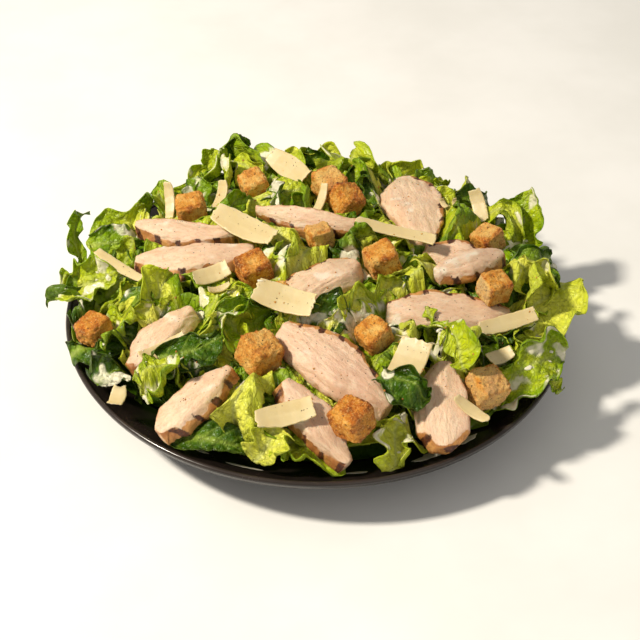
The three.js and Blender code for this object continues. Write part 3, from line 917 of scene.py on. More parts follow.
# %% [markdown]
# ## Finish of the leaves
# Lettuce is thin enough for light to pass, which is what makes the hearts glow, so part of the shader
# is translucent. The tone mask runs through a ramp from deep green to yellow. Veins are pale. A fine
# net of the smallest veins comes from cell borders on the leaf's own flat coordinates. The dressing is
# a glossy cream film that hides the skin.

# %% Leaf finish
leaf_finish, tree, shader = new_finish("romaine leaf")
tone, vein, cream, upper = read_masks(tree)
cream = ramp(tree, cream, 0.1, 0.75)
place = add_node(tree, "TexCoord").outputs["Object"]
flat = own_place(tree)
mottle = noise_on(tree, place, 95, 4, 0.6)
tone = sum_of(tree, "ADD", tone, ramp(tree, mottle, 0.25, 0.75, -0.09, 0.09))
LEAF_TONES = (
    (0.0, paint(34, 60, 0)),
    (0.2, paint(66, 110, 0)),
    (0.42, paint(152, 188, 4)),
    (0.66, paint(218, 230, 34)),
    (1.0, paint(252, 250, 96)),
)
skin = tone_scale(tree, tone, LEAF_TONES)
net = add_node(tree, "TexVoronoi", feature="DISTANCE_TO_EDGE", Scale=420.0)
tree.links.new(flat, net.inputs["Vector"])
net_lines = ramp(tree, net.outputs["Distance"], 0.13, 0.02)
vein_colour = blend(tree, tone, paint(146, 178, 40), paint(238, 240, 150))
pale = sum_of(tree, "MAXIMUM", times(tree, vein, 0.74), times(tree, net_lines, 0.16))
skin = blend(tree, pale, skin, vein_colour)
dull = times(tree, sum_of(tree, "SUBTRACT", 1.0, upper), 0.28)
skin = blend(tree, dull, skin, paint(142, 168, 50))
cover = times(tree, cream, ramp(tree, noise_on(tree, place, 260, 3), 0.3, 0.6, 0.6, 1.0))
skin = blend(tree, cover, skin, paint(228, 222, 194))
tree.links.new(skin, shader.inputs["Base Color"])
wet = ramp(tree, mottle, 0.3, 0.75, 0.2, 0.42)
tree.links.new(blend(tree, cover, wet, 0.2), shader.inputs["Roughness"])
shader.inputs["Specular IOR Level"].default_value = 0.38
blisters = add_node(tree, "TexVoronoi", feature="SMOOTH_F1", Scale=250.0, Smoothness=0.6)
tree.links.new(flat, blisters.inputs["Vector"])
domes = ramp(tree, blisters.outputs["Distance"], 0.75, 0.1)
height = sum_of(tree, "ADD", times(tree, net_lines, -0.25), domes)
height = sum_of(tree, "ADD", height, times(tree, noise_on(tree, place, 600, 3), 0.35))
height = times(tree, height, sum_of(tree, "SUBTRACT", 1.0, cover))
tree.links.new(bump_from(tree, height, 1.0, 0.0016), shader.inputs["Normal"])
glow = add_node(tree, "BsdfTranslucent")
tree.links.new(blend(tree, 0.35, skin, paint(206, 220, 10)), glow.inputs["Color"])
both = add_node(tree, "MixShader")
tree.links.new(times(tree, sum_of(tree, "SUBTRACT", 1.0, cover), 0.3), both.inputs[0])
tree.links.new(shader.outputs["BSDF"], both.inputs[1])
tree.links.new(glow.outputs["BSDF"], both.inputs[2])
tree.links.new(both.outputs["Shader"], tree.nodes["Material Output"].inputs["Surface"])
leaves = [pile.build() for pile in piles.values()]
for piece in (*leaves, core):
    piece.data.materials.append(leaf_finish)
    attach(piece, "root")
    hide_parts("lettuce_heap")
print("leaf pieces:", [piece.name for piece in leaves])

# %% [markdown]
# ## Working copies of the toppings
# Slices, croutons and shavings keep the size and place that the model gives them, so each one starts
# from a copy of its solid. The copy's loose triangles are merged, and a voxel remesh then covers it
# with small even faces, which is what fine relief needs. Each copy also gets axes of its own, along,
# across and up, so that fibres, grill marks and cut ends follow the piece however it lies.

# %% Copies and remesh
def copy_solid(name, new_name):
    """A merged copy of a piece of the model, selected and active."""
    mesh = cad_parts[name].data.copy()
    mesh.materials.clear()
    piece = bpy.data.objects.new(new_name, mesh)
    bpy.context.collection.objects.link(piece)
    clear_selection()
    piece.select_set(True)
    bpy.context.view_layer.objects.active = piece
    bpy.ops.object.mode_set(mode="EDIT")
    bpy.ops.mesh.select_all(action="SELECT")
    bpy.ops.mesh.remove_doubles(threshold=0.00001)
    bpy.ops.object.mode_set(mode="OBJECT")
    return piece


def apply_modifier(piece, kind, **settings):
    """Adds a modifier to the active piece and applies it at once."""
    modifier = piece.modifiers.new("step", kind)
    for key, value in settings.items():
        setattr(modifier, key, value)
    bpy.ops.object.modifier_apply(modifier="step")


def remesh(piece, voxel, rounds):
    """Small even faces, then a little smoothing, so that cut corners are soft."""
    apply_modifier(piece, "REMESH", mode="VOXEL", voxel_size=voxel * MM)
    apply_modifier(piece, "SMOOTH", factor=0.5, iterations=rounds)
    bpy.ops.object.shade_smooth()


def read_points(piece):
    """Places and normals of a mesh's points, in mm."""
    count = len(piece.data.vertices)
    places = np.empty(count * 3)
    normals = np.empty(count * 3)
    piece.data.vertices.foreach_get("co", places)
    piece.data.vertices.foreach_get("normal", normals)
    return places.reshape(-1, 3) / MM, normals.reshape(-1, 3)


def write_points(piece, places, masks, flats):
    """New places in mm, the four masks and the piece's own coordinates."""
    piece.data.vertices.foreach_set("co", (places * MM).ravel())
    layer = piece.data.attributes.new("masks", "FLOAT_COLOR", "POINT")
    layer.data.foreach_set("color", np.stack(masks, 1).ravel())
    layer = piece.data.attributes.new("flat", "FLOAT_VECTOR", "POINT")
    layer.data.foreach_set("vector", (flats * MM).ravel())
    piece.data.update()


def own_axes(points):
    """Middle of a long flat piece and its axes along, across and up."""
    middle = (points.max(0) + points.min(0)) / 2
    axes = np.linalg.svd(points - points.mean(0), full_matrices=False)[2]
    along = axes[0] * (1 if axes[0][0] > 0 else -1)
    up = axes[2] * (1 if axes[2][2] > 0 else -1)
    return middle, np.stack([along, np.cross(up, along), up])


print("toppings to copy:", len(toppings))

# %% [markdown]
# ## Grilled chicken
# The slices are cut across a grilled breast. The cut faces are pale and moist, with fibres that run
# along the slice and part here and there, and pale patches of painted sheen stand for their wet shine.
# Only one edge of a slice is the outside of the breast: it has a thin golden crust with dark marks
# where it met the bars of the grill. The table says which way that edge faces, in degrees, how pink
# the slice is and how far the crust shows, in mm.

# %% Crust side of each slice
CHICKEN_SLICES = {
    "left_upper": (-102, 0.35, 4.6),
    "left_lower": (-80, 0.3, 4.2),
    "back_edge": (-104, 0.25, 8.5),
    "back_tall": (12, 0.2, 1.7),
    "right_torn": (76, 0.3, 1.8),
    "right_upper": (-30, 0.45, 2.4),
    "right_wide": (112, 0.5, 1.7),
    "middle": (128, 0.1, 1.7),
    "front_lower": (-138, 0.35, 2.6),
    "front_large": (51, 0.75, 2.0),
    "front_right": (-90, 0.4, 2.2),
    "left_middle": (-130, 0.35, 2.2),
    "left_front": (-48, 0.25, 3.0),
}
print("slices with a crust side:", len(CHICKEN_SLICES))

# %% Distance from the outline
def edge_distance(flat):
    """How far each point is inside the piece's outline, and which way the nearest edge faces."""
    hull = [flat[index] for index in convex_hull_2d([Vector(point) for point in flat])]
    corners = np.array(hull)
    step = np.roll(corners, -1, axis=0) - corners
    long_enough = np.linalg.norm(step, axis=1) > 0.05
    corners = corners[long_enough]
    step = step[long_enough]
    facing = np.stack([step[:, 1], -step[:, 0]], 1) / np.linalg.norm(step, axis=1)[:, None]
    middle = flat.mean(0)
    facing = facing * np.sign(((corners - middle) * facing).sum(1))[:, None]
    depth = (corners * facing).sum(1)[None, :] - flat @ facing.T
    nearest = depth.argmin(1)
    return depth.min(1).clip(0), facing[nearest]


print("outline helper ready")

# %% Chicken slices
SLICE_VOXEL = 0.75
GRILL_SPACING = 12


def make_slice(short_name, side, pink, band, seed):
    """One slice of chicken with fibres, a crust on one edge and grill marks on the crust."""
    piece = copy_solid("chicken_" + short_name, "grilled_chicken_" + short_name)
    remesh(piece, SLICE_VOXEL, 9)
    points, normals = read_points(piece)
    middle, axes = own_axes(points)
    own = (points - middle) @ axes.T
    depth, facing = edge_distance(own[:, :2])
    ragged = 1.9 * lumps(np.c_[own[:, :2], own[:, 2] * 0], 15, seed + 11)
    ragged = ragged + 0.5 * lumps(np.c_[own[:, :2], own[:, 2] * 0.4], 6, seed + 12)
    push = (ragged * soft_step(9 - depth, 0, 8))[:, None] * facing
    points = points + push @ axes[:2]
    heading = axes[:2] @ np.array([math.cos(math.radians(side)), math.sin(math.radians(side)), 0])
    heading = heading / np.linalg.norm(heading)
    toward = facing @ heading
    wrap = band + 1.4 * lumps(own, 5, seed) + 0.6 * lumps(own, 1.6, seed + 1)
    upright = np.abs(normals @ axes[2])
    side_face = soft_step(normals @ (heading @ axes[:2]), 0.2, 0.5) * soft_step(upright, 0.85, 0.6)
    crust = np.maximum(soft_step(toward, 0.3, 0.65) * soft_step(wrap - depth, -0.8, 0.8), side_face)
    browned_rim = 0.5 * soft_step(1.1 + 0.8 * lumps(own, 3.5, seed + 14) - depth, -0.6, 0.8)
    bars = np.cos(2 * math.pi * (own[:, 0] + 0.4 * own[:, 1]) / GRILL_SPACING + seed)
    bars = bars + 0.6 * lumps(own, 7, seed + 2)
    scorched = soft_step(toward, 0.3, 0.65) * soft_step(wrap + 0.9 - depth, -0.9, 0.9)
    marks = np.maximum(scorched, side_face) * soft_step(bars, 0.2, 1.0)
    crust = np.maximum(crust, browned_rim)
    fibre = lumps(own, (9, 1.8, 3), seed + 3)
    strand = lumps(own, (4, 1.0, 1.5), seed + 4)
    parted = soft_step(lumps(own, (16, 2.4, 4), seed + 5), 0.5, 0.85) * soft_step(depth, 0.5, 3)
    relief = 0.24 * fibre + 0.16 * strand + 0.7 * lumps(own, 11, seed + 6) - 0.5 * parted
    relief = relief * (1 - 0.7 * crust) + crust * 0.25 * lumps(own, 2.2, seed + 7) - 0.25 * marks
    on_side = soft_step(1.6 - depth, 0, 1.4)
    relief = relief + on_side * 0.45 * lumps(own, (5, 5, 7), seed + 8)
    points = points + normals * relief[:, None]
    # Pale patches of painted sheen, where a moist cut face would shine in the light.
    painted_sheen = soft_step(lumps(own, 10, seed + 9) + 0.4 * lumps(own, 4, seed + 13), 0.55, 0.95)
    rosy = np.clip(pink + 0.5 * lumps(own, 14, seed + 10), 0, 1)
    write_points(piece, points, (crust, marks, painted_sheen, rosy), own)
    return piece


slices = []
for number, (short_name, looks) in enumerate(CHICKEN_SLICES.items()):
    slices.append(make_slice(short_name, *looks, 20 * number + 3))
print("slices:", len(slices), "with", sum(len(p.data.polygons) for p in slices) * 2, "triangles")

# %% Chicken finish
meat_finish, tree, shader = new_finish("grilled chicken")
crust, marks, painted_sheen, rosy = read_masks(tree)
own = own_place(tree)
strands = stretched(tree, own, (0.45, 1.0, 0.8))
threads = noise_on(tree, strands, 850, 4, 0.7)
streaks = noise_on(tree, strands, 260, 3, 0.55)
mottle = noise_on(tree, own, 120, 4, 0.6)
flesh = blend(tree, rosy, paint(226, 195, 162), paint(221, 182, 154))
broad = noise_on(tree, own, 48, 3, 0.5)
flesh = blend(tree, ramp(tree, broad, 0.4, 0.7, 0, 0.38), flesh, paint(208, 162, 122))
pale = ramp(tree, streaks, 0.4, 0.7)
flesh = blend(tree, times(tree, pale, 0.5), flesh, paint(238, 216, 188))
# Darker where the fibre bump is low: partly the fibres' own colour, partly painted shade in the grooves.
groove_shade = ramp(tree, threads, 0.52, 0.36)
flesh = blend(tree, times(tree, groove_shade, 0.36), flesh, paint(190, 142, 106))
golden = blend(tree, ramp(tree, mottle, 0.35, 0.65), paint(206, 150, 84), paint(164, 104, 50))
char = ramp(tree, noise_on(tree, own, 500, 3), 0.35, 0.65)
charred = blend(tree, char, paint(100, 52, 26), paint(58, 28, 16))
browned = ramp(tree, sum_of(tree, "ADD", crust, times(tree, mottle, 0.5)), 0.55, 1.0)
skin = blend(tree, browned, flesh, golden)
broken = sum_of(tree, "ADD", marks, ramp(tree, noise_on(tree, own, 650, 4, 0.7), 0.3, 0.7, -0.3, 0.3))
skin = blend(tree, ramp(tree, broken, 0.25, 0.75), skin, charred)
spots = ramp(tree, noise_on(tree, own, 700, 2), 0.66, 0.72)
skin = blend(tree, times(tree, spots, times(tree, crust, 0.8)), skin, charred)
# The painted sheen: pale patches laid over the flesh as a painted highlight.
skin = blend(tree, times(tree, painted_sheen, 0.75), skin, paint(238, 226, 206))
tree.links.new(skin, shader.inputs["Base Color"])
tree.links.new(ramp(tree, streaks, 0.3, 0.7, 0.34, 0.5), shader.inputs["Roughness"])
let_light_in(shader, 0.3, (1.0, 0.5, 0.3), 0.0022)
height = sum_of(tree, "ADD", threads, times(tree, noise_on(tree, own, 1400, 2), 0.4))
tree.links.new(bump_from(tree, height, 0.7, 0.0008), shader.inputs["Normal"])
for piece in slices:
    piece.data.materials.append(meat_finish)
    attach(piece, "root")
    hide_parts(piece.name.replace("grilled_", ""))
print("meat nodes:", len(tree.nodes))

# %% [markdown]
# ## Croutons
# A crouton is a cube of bread fried in oil: open crumb all over, corners rubbed round, edges browner
# than the faces, and now and then a face that stayed pale. The crumb is real relief, in three sizes
# of lump and with open pores, and the pores are also darkened with painted shade. A cube has no
# longest side, so its axes come from its two largest faces.

# %% Cube axes
def cube_axes(name):
    """The three face directions of a crouton's solid."""
    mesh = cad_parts[name].data
    found = []
    for face in sorted(mesh.polygons, key=lambda face: -face.area):
        direction = np.array(face.normal)
        if all(abs(direction @ other) < 0.4 for other in found):
            found.append(direction)
        if len(found) == 2:
            break
    third = np.cross(found[0], found[1])
    third = third / np.linalg.norm(third)
    return np.stack([found[0], np.cross(third, found[0]), third])


print("axes of one crouton:", np.round(cube_axes("crouton_front_left"), 1).tolist())

# %% Crouton meshes
PALE_CROUTONS = {"right_pale": 1.0, "half_hidden": 0.5, "front_right": 0.65, "right_upper": 0.3,
                 "middle_right": 0.35, "front_middle": 0.25, "back_light": 0.3}
CROUTON_VOXEL = 0.58
WELL_TOASTED = ("crouton_front_centre", "crouton_back_dark", "crouton_middle_left", "crouton_left_rim")


def make_crouton(name, seed):
    """One crouton with crumb, pores and browned edges."""
    piece = copy_solid(name, "toasted_" + name)
    remesh(piece, CROUTON_VOXEL, 6)
    points, normals = read_points(piece)
    axes = cube_axes(name)
    own = (points - (points.max(0) + points.min(0)) / 2) @ axes.T
    share = np.sort(np.abs(own) / np.abs(own).max(0), axis=1)
    edge = soft_step(share[:, 1] + 0.16 * lumps(own, 4, seed), 0.7, 1.05)
    broad = lumps(own, 6.5, seed + 1)
    crumb = lumps(own, 2.4, seed + 2)
    grain = lumps(own, 0.95, seed + 3)
    # Pores sink into the crumb, and the same mask darkens them in the finish as painted shade.
    pore_pits_and_shade = soft_step(lumps(own, (1.9, 1.6, 1.8), seed + 4), 0.35, 0.7)
    relief = 0.5 * broad + 0.26 * crumb + 0.42 * grain - 0.45 * pore_pits_and_shade - 0.25 * edge
    points = points + normals * relief[:, None]
    blank = PALE_CROUTONS.get(name.replace("crouton_", ""), 0.08)
    best = np.abs(own / np.abs(own).max(0)).argmax(1)
    sign = np.take_along_axis(own, best[:, None], 1)[:, 0] > 0
    face_number = best * 2 + sign
    pale_faces = np.random.default_rng(seed).permutation(6)[:3]
    pale = blank * np.isin(face_number, pale_faces) * (1 - edge)
    base = 0.5 if name in WELL_TOASTED else 0.28
    brown = np.clip(base + 0.42 * edge + 0.2 * broad + 0.12 * crumb - 0.2 * pale, 0, 1)
    write_points(piece, points, (brown, pale, pore_pits_and_shade, edge), own)
    return piece


crouton_names = [name for name in toppings if name.startswith("crouton_")]
croutons = [make_crouton(name, 9 * number + 400) for number, name in enumerate(crouton_names)]
print("croutons:", len(croutons), "with", sum(len(p.data.polygons) for p in croutons) * 2, "triangles")

# %% Crouton finish
toast_finish, tree, shader = new_finish("toasted bread")
brown, pale, pore_pits_and_shade, _ = read_masks(tree)
own = own_place(tree)
mottle = noise_on(tree, own, 190, 4, 0.65)
crumb = noise_on(tree, own, 1100, 4, 0.7)
level = sum_of(tree, "ADD", brown, ramp(tree, mottle, 0.25, 0.75, -0.3, 0.3))
TOAST_TONES = (
    (0.0, paint(248, 200, 112)),
    (0.3, paint(232, 158, 54)),
    (0.62, paint(200, 112, 22)),
    (1.0, paint(122, 58, 12)),
)
bread = tone_scale(tree, level, TOAST_TONES)
bread = blend(tree, times(tree, pale, ramp(tree, mottle, 0.3, 0.6)), bread, paint(228, 190, 130))
# The pores are darkened as painted shade in their pits.
bread = blend(tree, times(tree, pore_pits_and_shade, 0.3), bread, paint(146, 80, 22))
# Lighter on the raised grains of the crumb bump and darker in its hollows: partly the crumb's own specks,
# partly painted highlight and painted shade.
bread = blend(tree, ramp(tree, crumb, 0.52, 0.64, 0, 0.6), bread, paint(250, 204, 126))
bread = blend(tree, ramp(tree, crumb, 0.46, 0.34, 0, 0.45), bread, paint(142, 76, 22))
herbs = ramp(tree, noise_on(tree, own, 760, 2), 0.66, 0.7)
bread = blend(tree, times(tree, herbs, 0.75), bread, paint(70, 48, 22))
tree.links.new(bread, shader.inputs["Base Color"])
shader.inputs["Roughness"].default_value = 0.62
shader.inputs["Specular IOR Level"].default_value = 0.4
let_light_in(shader, 0.12, (1.0, 0.5, 0.2), 0.001)
tree.links.new(bump_from(tree, crumb, 1.0, 0.0016), shader.inputs["Normal"])
for piece in croutons:
    piece.data.materials.append(toast_finish)
    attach(piece, "root")
    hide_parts(piece.name.replace("toasted_", ""))
print("toast nodes:", len(tree.nodes))

# %% [markdown]
# ## Cheese shavings
# A peeler takes hard cheese off in thin strips that curl a little and break raggedly at the ends.
# The strip's faces are smooth with faint lines from the blade, and light shows through its edges,
# which are also painted paler as painted light.
# Remeshed strips have more faces than a smooth sheet needs, so they are thinned out at the end.

# %% Squarer strips
def square_up(own, draw):
    """Widens a strip towards its ends, so that it is broken off there and not pointed."""
    reach = np.abs(own).max(0)
    place = (own[:, 0] / reach[0] + 1) * 9.999
    half = np.full(21, 0.1)
    np.maximum.at(half, place.astype(int), np.abs(own[:, 1]))
    half = np.maximum(half, 0.25 * reach[1])
    width_here = np.interp(place, np.arange(21) + 0.5, half)
    start, end = draw.uniform(0.62, 0.98, 2)
    share = own[:, 0] / reach[0]
    wanted = np.where(share < 0, 1 + (start - 1) * share**2, 1 + (end - 1) * share**2)
    result = own.copy()
    result[:, 1] *= np.clip(reach[1] * wanted / width_here, 1, 2.6)
    return result


print("strip helper ready")

# %% Cheese meshes
SHAVING_VOXEL = 0.5
FACES_KEPT = 0.4


def make_shaving(name, seed):
    """One shaving, wavy along its length and ragged at its ends."""
    piece = copy_solid(name, "shaved_" + name)
    remesh(piece, SHAVING_VOXEL, 1)
    points, normals = read_points(piece)
    middle, axes = own_axes(points)
    own = square_up((points - middle) @ axes.T, np.random.default_rng(seed))
    reach = np.abs(own).max(0)
    at_end = soft_step(np.abs(own[:, 0]) / reach[0], 0.72, 1.0)
    at_side = soft_step(np.abs(own[:, 1]) / reach[1], 0.6, 1.0)
    flat_across = own * np.array([0.0, 1.0, 0.0]) + np.sign(own[:, :1]) * np.array([[9.0, 0, 0]])
    flat_along = own * np.array([1.0, 0.0, 0.0]) + np.sign(own[:, 1:2]) * np.array([[0, 9.0, 0]])
    ragged = 1.5 * lumps(flat_across, 4.5, seed) + 0.8 * lumps(flat_across, 1.8, seed + 1)
    nibbled = 0.7 * lumps(flat_along, 9, seed + 2) + 0.3 * lumps(flat_along, 2.5, seed + 3)
    moved = own.copy()
    moved[:, 0] -= np.sign(own[:, 0]) * at_end * np.abs(ragged)
    moved[:, 1] -= np.sign(own[:, 1]) * at_side * np.abs(nibbled)
    moved[:, 2] += 0.55 * lumps(own * np.array([1, 0.4, 0]), 13, seed + 4)
    moved[:, 2] += 0.05 * lumps(own * np.array([0.3, 1, 0]), 3.5, seed + 5)
    shifted = middle + moved @ axes + normals * (-0.12 + 0.05 * lumps(own, 1.5, seed + 6))[:, None]
    # Paler towards the thin sides and broken ends: painted light showing through the thin cheese.
    rim = np.maximum(soft_step(np.abs(own[:, 1]) / reach[1], 0.8, 1), at_end)
    tone = np.clip(0.5 + 0.5 * lumps(own, (16, 5, 9), seed + 7), 0, 1)
    write_points(piece, shifted, (rim, tone, tone * 0, tone * 0 + 1), own)
    apply_modifier(piece, "DECIMATE", ratio=FACES_KEPT)
    return piece


cheese_names = [name for name in toppings if name.startswith("cheese_")]
shavings = [make_shaving(name, 11 * number + 700) for number, name in enumerate(cheese_names)]
print("shavings:", len(shavings), "with", sum(len(p.data.polygons) for p in shavings), "triangles")

# %% Cheese finish
cheese_finish, tree, shader = new_finish("hard cheese")
rim, tone, _, _ = read_masks(tree)
own = own_place(tree)
blade = noise_on(tree, stretched(tree, own, (0.08, 1.0, 0.4)), 300, 2, 0.5)
grain = noise_on(tree, own, 1500, 2)
straw = blend(tree, tone, paint(214, 196, 150), paint(204, 182, 130))
straw = blend(tree, ramp(tree, blade, 0.5, 0.75, 0, 0.2), straw, paint(228, 212, 168))
# Paler at the thin edges, as painted light that shows through them.
straw = blend(tree, times(tree, rim, 0.35), straw, paint(230, 214, 172))
dots = ramp(tree, noise_on(tree, own, 1100, 2), 0.68, 0.74)
straw = blend(tree, times(tree, dots, 0.35), straw, paint(240, 226, 192))
tree.links.new(straw, shader.inputs["Base Color"])
tree.links.new(ramp(tree, blade, 0.3, 0.7, 0.36, 0.5), shader.inputs["Roughness"])
let_light_in(shader, 0.4, (1.0, 0.8, 0.4), 0.002)
height = sum_of(tree, "ADD", blade, times(tree, grain, 0.3))
tree.links.new(bump_from(tree, height, 0.15, 0.0003), shader.inputs["Normal"])
for piece in shavings:
    piece.data.materials.append(cheese_finish)
    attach(piece, "root")
    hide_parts(piece.name.replace("shaved_", ""))
print("cheese nodes:", len(tree.nodes))

# %% [markdown]
# ## Dressing, pepper and crumbs
# The last things that a cook adds are small: drops and dribbles of dressing, coarse pepper, and the
# crumbs that fall from croutons. Each is dropped from above onto whatever lies there. A ray straight
# down finds the place and which way the surface faces, and a small closed shape is set on it.

# %% Rays from above
bpy.context.view_layer.update()
graph = bpy.context.evaluated_depsgraph_get()
scatter_draw = np.random.default_rng(77)
SHOWN = {piece.name: "meat" for piece in slices}
SHOWN.update({piece.name: "toast" for piece in croutons})
SHOWN.update({piece.name: "cheese" for piece in shavings})
SHOWN.update({piece.name: "leaf" for piece in leaves})
SHOWN[bowl.name] = "bowl"


def drop_onto(x, y):
    """Place and normal in mm of what lies highest at x and y, and what kind of thing it is."""
    start = Vector((x * MM, y * MM, 0.2))
    while True:
        hit, place, normal, _, found, _ = bpy.context.scene.ray_cast(graph, start, Vector((0, 0, -1)))
        if not hit:
            return None
        if found.name in SHOWN:
            return np.array(place) / MM, np.array(normal), SHOWN[found.name]
        start = place - Vector((0, 0, 0.0001))


def frame_on(normal, turn):
    """Two directions along a surface and its normal, as rows."""
    side = np.cross(normal, (math.cos(turn), math.sin(turn), 0.1))
    side = side / np.linalg.norm(side)
    return np.stack([np.cross(side, normal), side, normal])


print("at the middle lies:", drop_onto(0, 0)[2])

# %% A small lump
def round_lump(rings, sides):
    """Points and faces of a small closed dome one wide and one high, with its base just below."""
    points = [(0, 0, 1.0)]
    for ring in range(1, rings + 1):
        angle = 0.5 * math.pi * ring / rings
        for side in range(sides):
            turn = 2 * math.pi * side / sides
            out = math.sin(angle)
            points.append((out * math.cos(turn), out * math.sin(turn), math.cos(angle)))
    points.append((0, 0, -0.5))
    faces = []
    for side in range(sides):
        after = (side + 1) % sides
        faces.append((0, 1 + side, 1 + after))
        for ring in range(rings - 1):
            high = 1 + ring * sides
            low = high + sides
            faces.append((high + side, low + side, low + after))
            faces.append((high + side, low + after, high + after))
        last = 1 + (rings - 1) * sides
        faces.append((last + side, len(points) - 1, last + after))
    return np.array(points), np.array(faces)


drop_points, drop_faces = round_lump(4, 12)
fleck_points, fleck_faces = round_lump(1, 5)
print("a drop has", len(drop_faces), "faces and a fleck", len(fleck_faces))

# %% Setting small things down
def set_down(pile, points, faces, hit, size, mask):
    """One small shape on a surface: size is its two widths and its height, in mm."""
    place, normal, kind = hit
    axes = frame_on(normal, scatter_draw.uniform(0, 6.3))
    own = points * np.array(size)
    masks = np.tile(np.array(mask, float), (len(points), 1))
    pile.add(place + own @ axes, faces, masks, own)


def random_spot(reach=0.96):
    """A place anywhere over the heap, in mm."""
    angle = scatter_draw.uniform(0, 2 * math.pi)
    radius = math.sqrt(scatter_draw.uniform()) * reach * float(heap_edge(angle))
    return radius * math.cos(angle), radius * math.sin(angle)


print("one random spot:", [round(value) for value in random_spot()])

# %% Pepper
pepper = Pile("ground_pepper")
PEPPER_TRIES = 1500
PEPPER_ON = {"meat": 1.0, "cheese": 0.8, "toast": 0.9, "leaf": 0.35, "bowl": 0.0}
for _ in range(PEPPER_TRIES):
    hit = drop_onto(*random_spot())
    if hit and scatter_draw.uniform() < PEPPER_ON[hit[2]]:
        width = scatter_draw.uniform(0.14, 0.42)
        size = (width, width * scatter_draw.uniform(0.6, 1.0), width * 0.6)
        shade = scatter_draw.uniform()
        rough_fleck = fleck_points * scatter_draw.uniform(0.7, 1.3, fleck_points.shape)
        set_down(pepper, rough_fleck, fleck_faces, hit, size, (shade, 0, 0, 1))
pepper_piece = pepper.build()
print("pepper flecks:", len(pepper.faces))

# %% Crumbs
CRUMB_TRIES = 260
crumbs = Pile("crouton_crumbs")
for _ in range(CRUMB_TRIES):
    hit = drop_onto(*random_spot())
    if hit and hit[2] != "bowl":
        width = scatter_draw.uniform(0.3, 0.8)
        rough_crumb = fleck_points * scatter_draw.uniform(0.6, 1.4, fleck_points.shape)
        size = (width, width * scatter_draw.uniform(0.6, 1.0), width * 0.7)
        mask = (scatter_draw.uniform(0.2, 0.8), 0.2, 0, 0)
        set_down(crumbs, rough_crumb, fleck_faces, hit, size, mask)
crumb_piece = crumbs.build()
crumb_piece.data.materials.append(toast_finish)
print("crumbs:", len(crumbs.faces))

# %% Drops of dressing
dressing = Pile("caesar_dressing")
DRESSED_SPOTS = (
    (-105, -74, 16), (-88, -84, 12), (114, -64, 14), (52, -50, 10), (70, -66, 8), (8, -50, 9),
    (-43, -42, 12), (-68, 100, 12), (-118, -8, 8), (118, 50, 14), (44, -118, 8), (98, -20, 14),
    (60, 100, 10), (-60, 60, 12), (20, -88, 12), (80, 14, 8),
)
for x, y, spread in DRESSED_SPOTS:
    for _ in range(6):
        spot = (x + scatter_draw.normal(0, spread / 2), y + scatter_draw.normal(0, spread / 2))
        hit = drop_onto(*spot)
        if hit and hit[2] in ("leaf", "cheese"):
            width = scatter_draw.uniform(0.4, 1.7) ** 1.5
            size = (width, width * scatter_draw.uniform(0.3, 0.8), 0.14 + 0.05 * width)
            uneven = drop_points * (1 + 0.5 * lumps(drop_points + x, 0.8, spread)[:, None])
            set_down(dressing, uneven, drop_faces, hit, size, (0, 0, 1, 1))
print("drops:", len(dressing.faces))

# %% Dressing that ran into the bowl
POOLS = (
    (-62, -107, 22, 4, -30), (-34, -122, 18, 3, -14), (58, -112, 20, 8, 28), (78, -100, 12, 6, 40),
    (22, -124, 12, 3, 8),
)


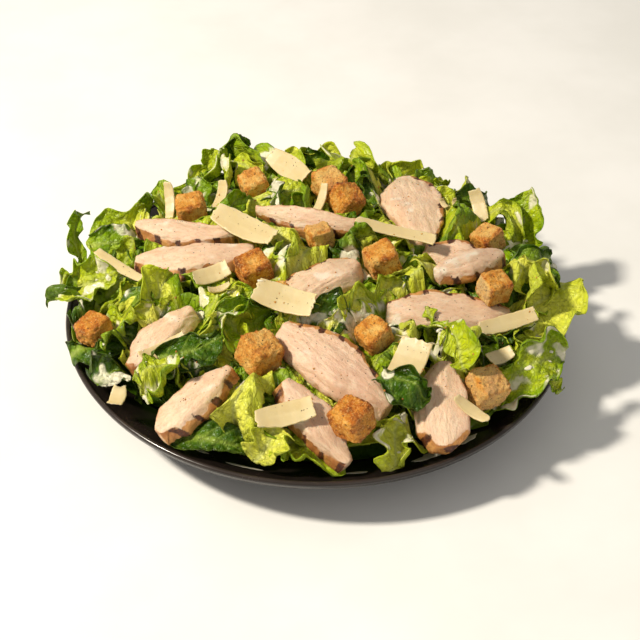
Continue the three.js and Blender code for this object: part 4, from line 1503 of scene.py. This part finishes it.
def add_pool(x, y, length, width, turn, seed):
    """A thin pool with a wandering outline that follows the inside of the bowl."""
    rings, sides = 9, 40
    around = np.linspace(0, 2 * math.pi, sides, endpoint=False)[None, :]
    out = np.linspace(0.02, 1, rings)[:, None]
    east = np.cos(around) * out
    north = np.sin(around) * out
    rim_spots = np.stack([np.cos(around), np.sin(around), 0 * around], -1).reshape(-1, 3)
    wander = 1 + 0.35 * lumps(rim_spots, 0.7, seed)[None, :] + 0.15 * lumps(rim_spots, 0.3, seed + 1)
    swing = math.radians(turn)
    own_x = east * wander * length / 2
    own_y = north * wander * width / 2
    place_x = x + own_x * math.cos(swing) - own_y * math.sin(swing)
    place_y = y + own_x * math.sin(swing) + own_y * math.cos(swing)
    base = inside_height(np.minimum(np.hypot(place_x, place_y), BOWL_INSIDE))
    thick = 0.3 * np.sqrt(np.clip(1.0 - out**2, 0, 1)) * np.ones_like(place_x)
    upper = np.stack([place_x, place_y, base + 0.06 + thick], -1).reshape(-1, 3)
    lower = np.stack([place_x, place_y, base - 0.25], -1).reshape(-1, 3)
    index = np.arange(rings * sides).reshape(rings, sides)
    after = np.roll(index, -1, axis=1)
    corner = (index[:-1], index[1:], after[1:], after[:-1])
    top = np.stack([part.ravel() for part in corner], 1)
    count = rings * sides
    bottom = top[:, ::-1] + count
    rim = np.stack([index[-1] + count, after[-1] + count, after[-1], index[-1]], 1)
    hole = np.stack([index[0], after[0], after[0] + count, index[0] + count], 1)
    quads = np.concatenate([top, bottom, rim, hole])
    halves = np.concatenate([quads[:, [0, 1, 2]], quads[:, [0, 2, 3]]])
    points = np.concatenate([upper, lower])
    masks = np.tile([0.0, 0, 1, 1], (len(points), 1))
    dressing.add(points, halves, masks, points)


for number, pool in enumerate(POOLS):
    add_pool(*pool, 900 + number)
dressing_piece = dressing.build()
print("pools:", len(POOLS))

# %% Finish of dressing and pepper
dressing_finish, tree, shader = new_finish("creamy dressing")
place = add_node(tree, "TexCoord").outputs["Object"]
cloudy = noise_on(tree, place, 300, 3)
tree.links.new(blend(tree, cloudy, paint(226, 216, 186), paint(238, 232, 210)), shader.inputs["Base Color"])
tree.links.new(ramp(tree, cloudy, 0.3, 0.7, 0.14, 0.26), shader.inputs["Roughness"])
let_light_in(shader, 0.3, (1.0, 0.9, 0.7), 0.001)
dressing_piece.data.materials.append(dressing_finish)
pepper_finish, tree, shader = new_finish("ground pepper")
place = add_node(tree, "TexCoord").outputs["Object"]
husk = ramp(tree, noise_on(tree, place, 2500, 2), 0.4, 0.6)
dark = blend(tree, read_masks(tree)[0], paint(34, 24, 16), paint(84, 60, 36))
peppery = blend(tree, times(tree, husk, 0.4), dark, paint(116, 92, 62))
tree.links.new(peppery, shader.inputs["Base Color"])
shader.inputs["Roughness"].default_value = 0.75
pepper_piece.data.materials.append(pepper_finish)
for piece, slot in ((pepper_piece, "romaine"), (crumb_piece, "toasted_bread"), (dressing_piece, "romaine")):
    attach(piece, "root")
print("small things finished")
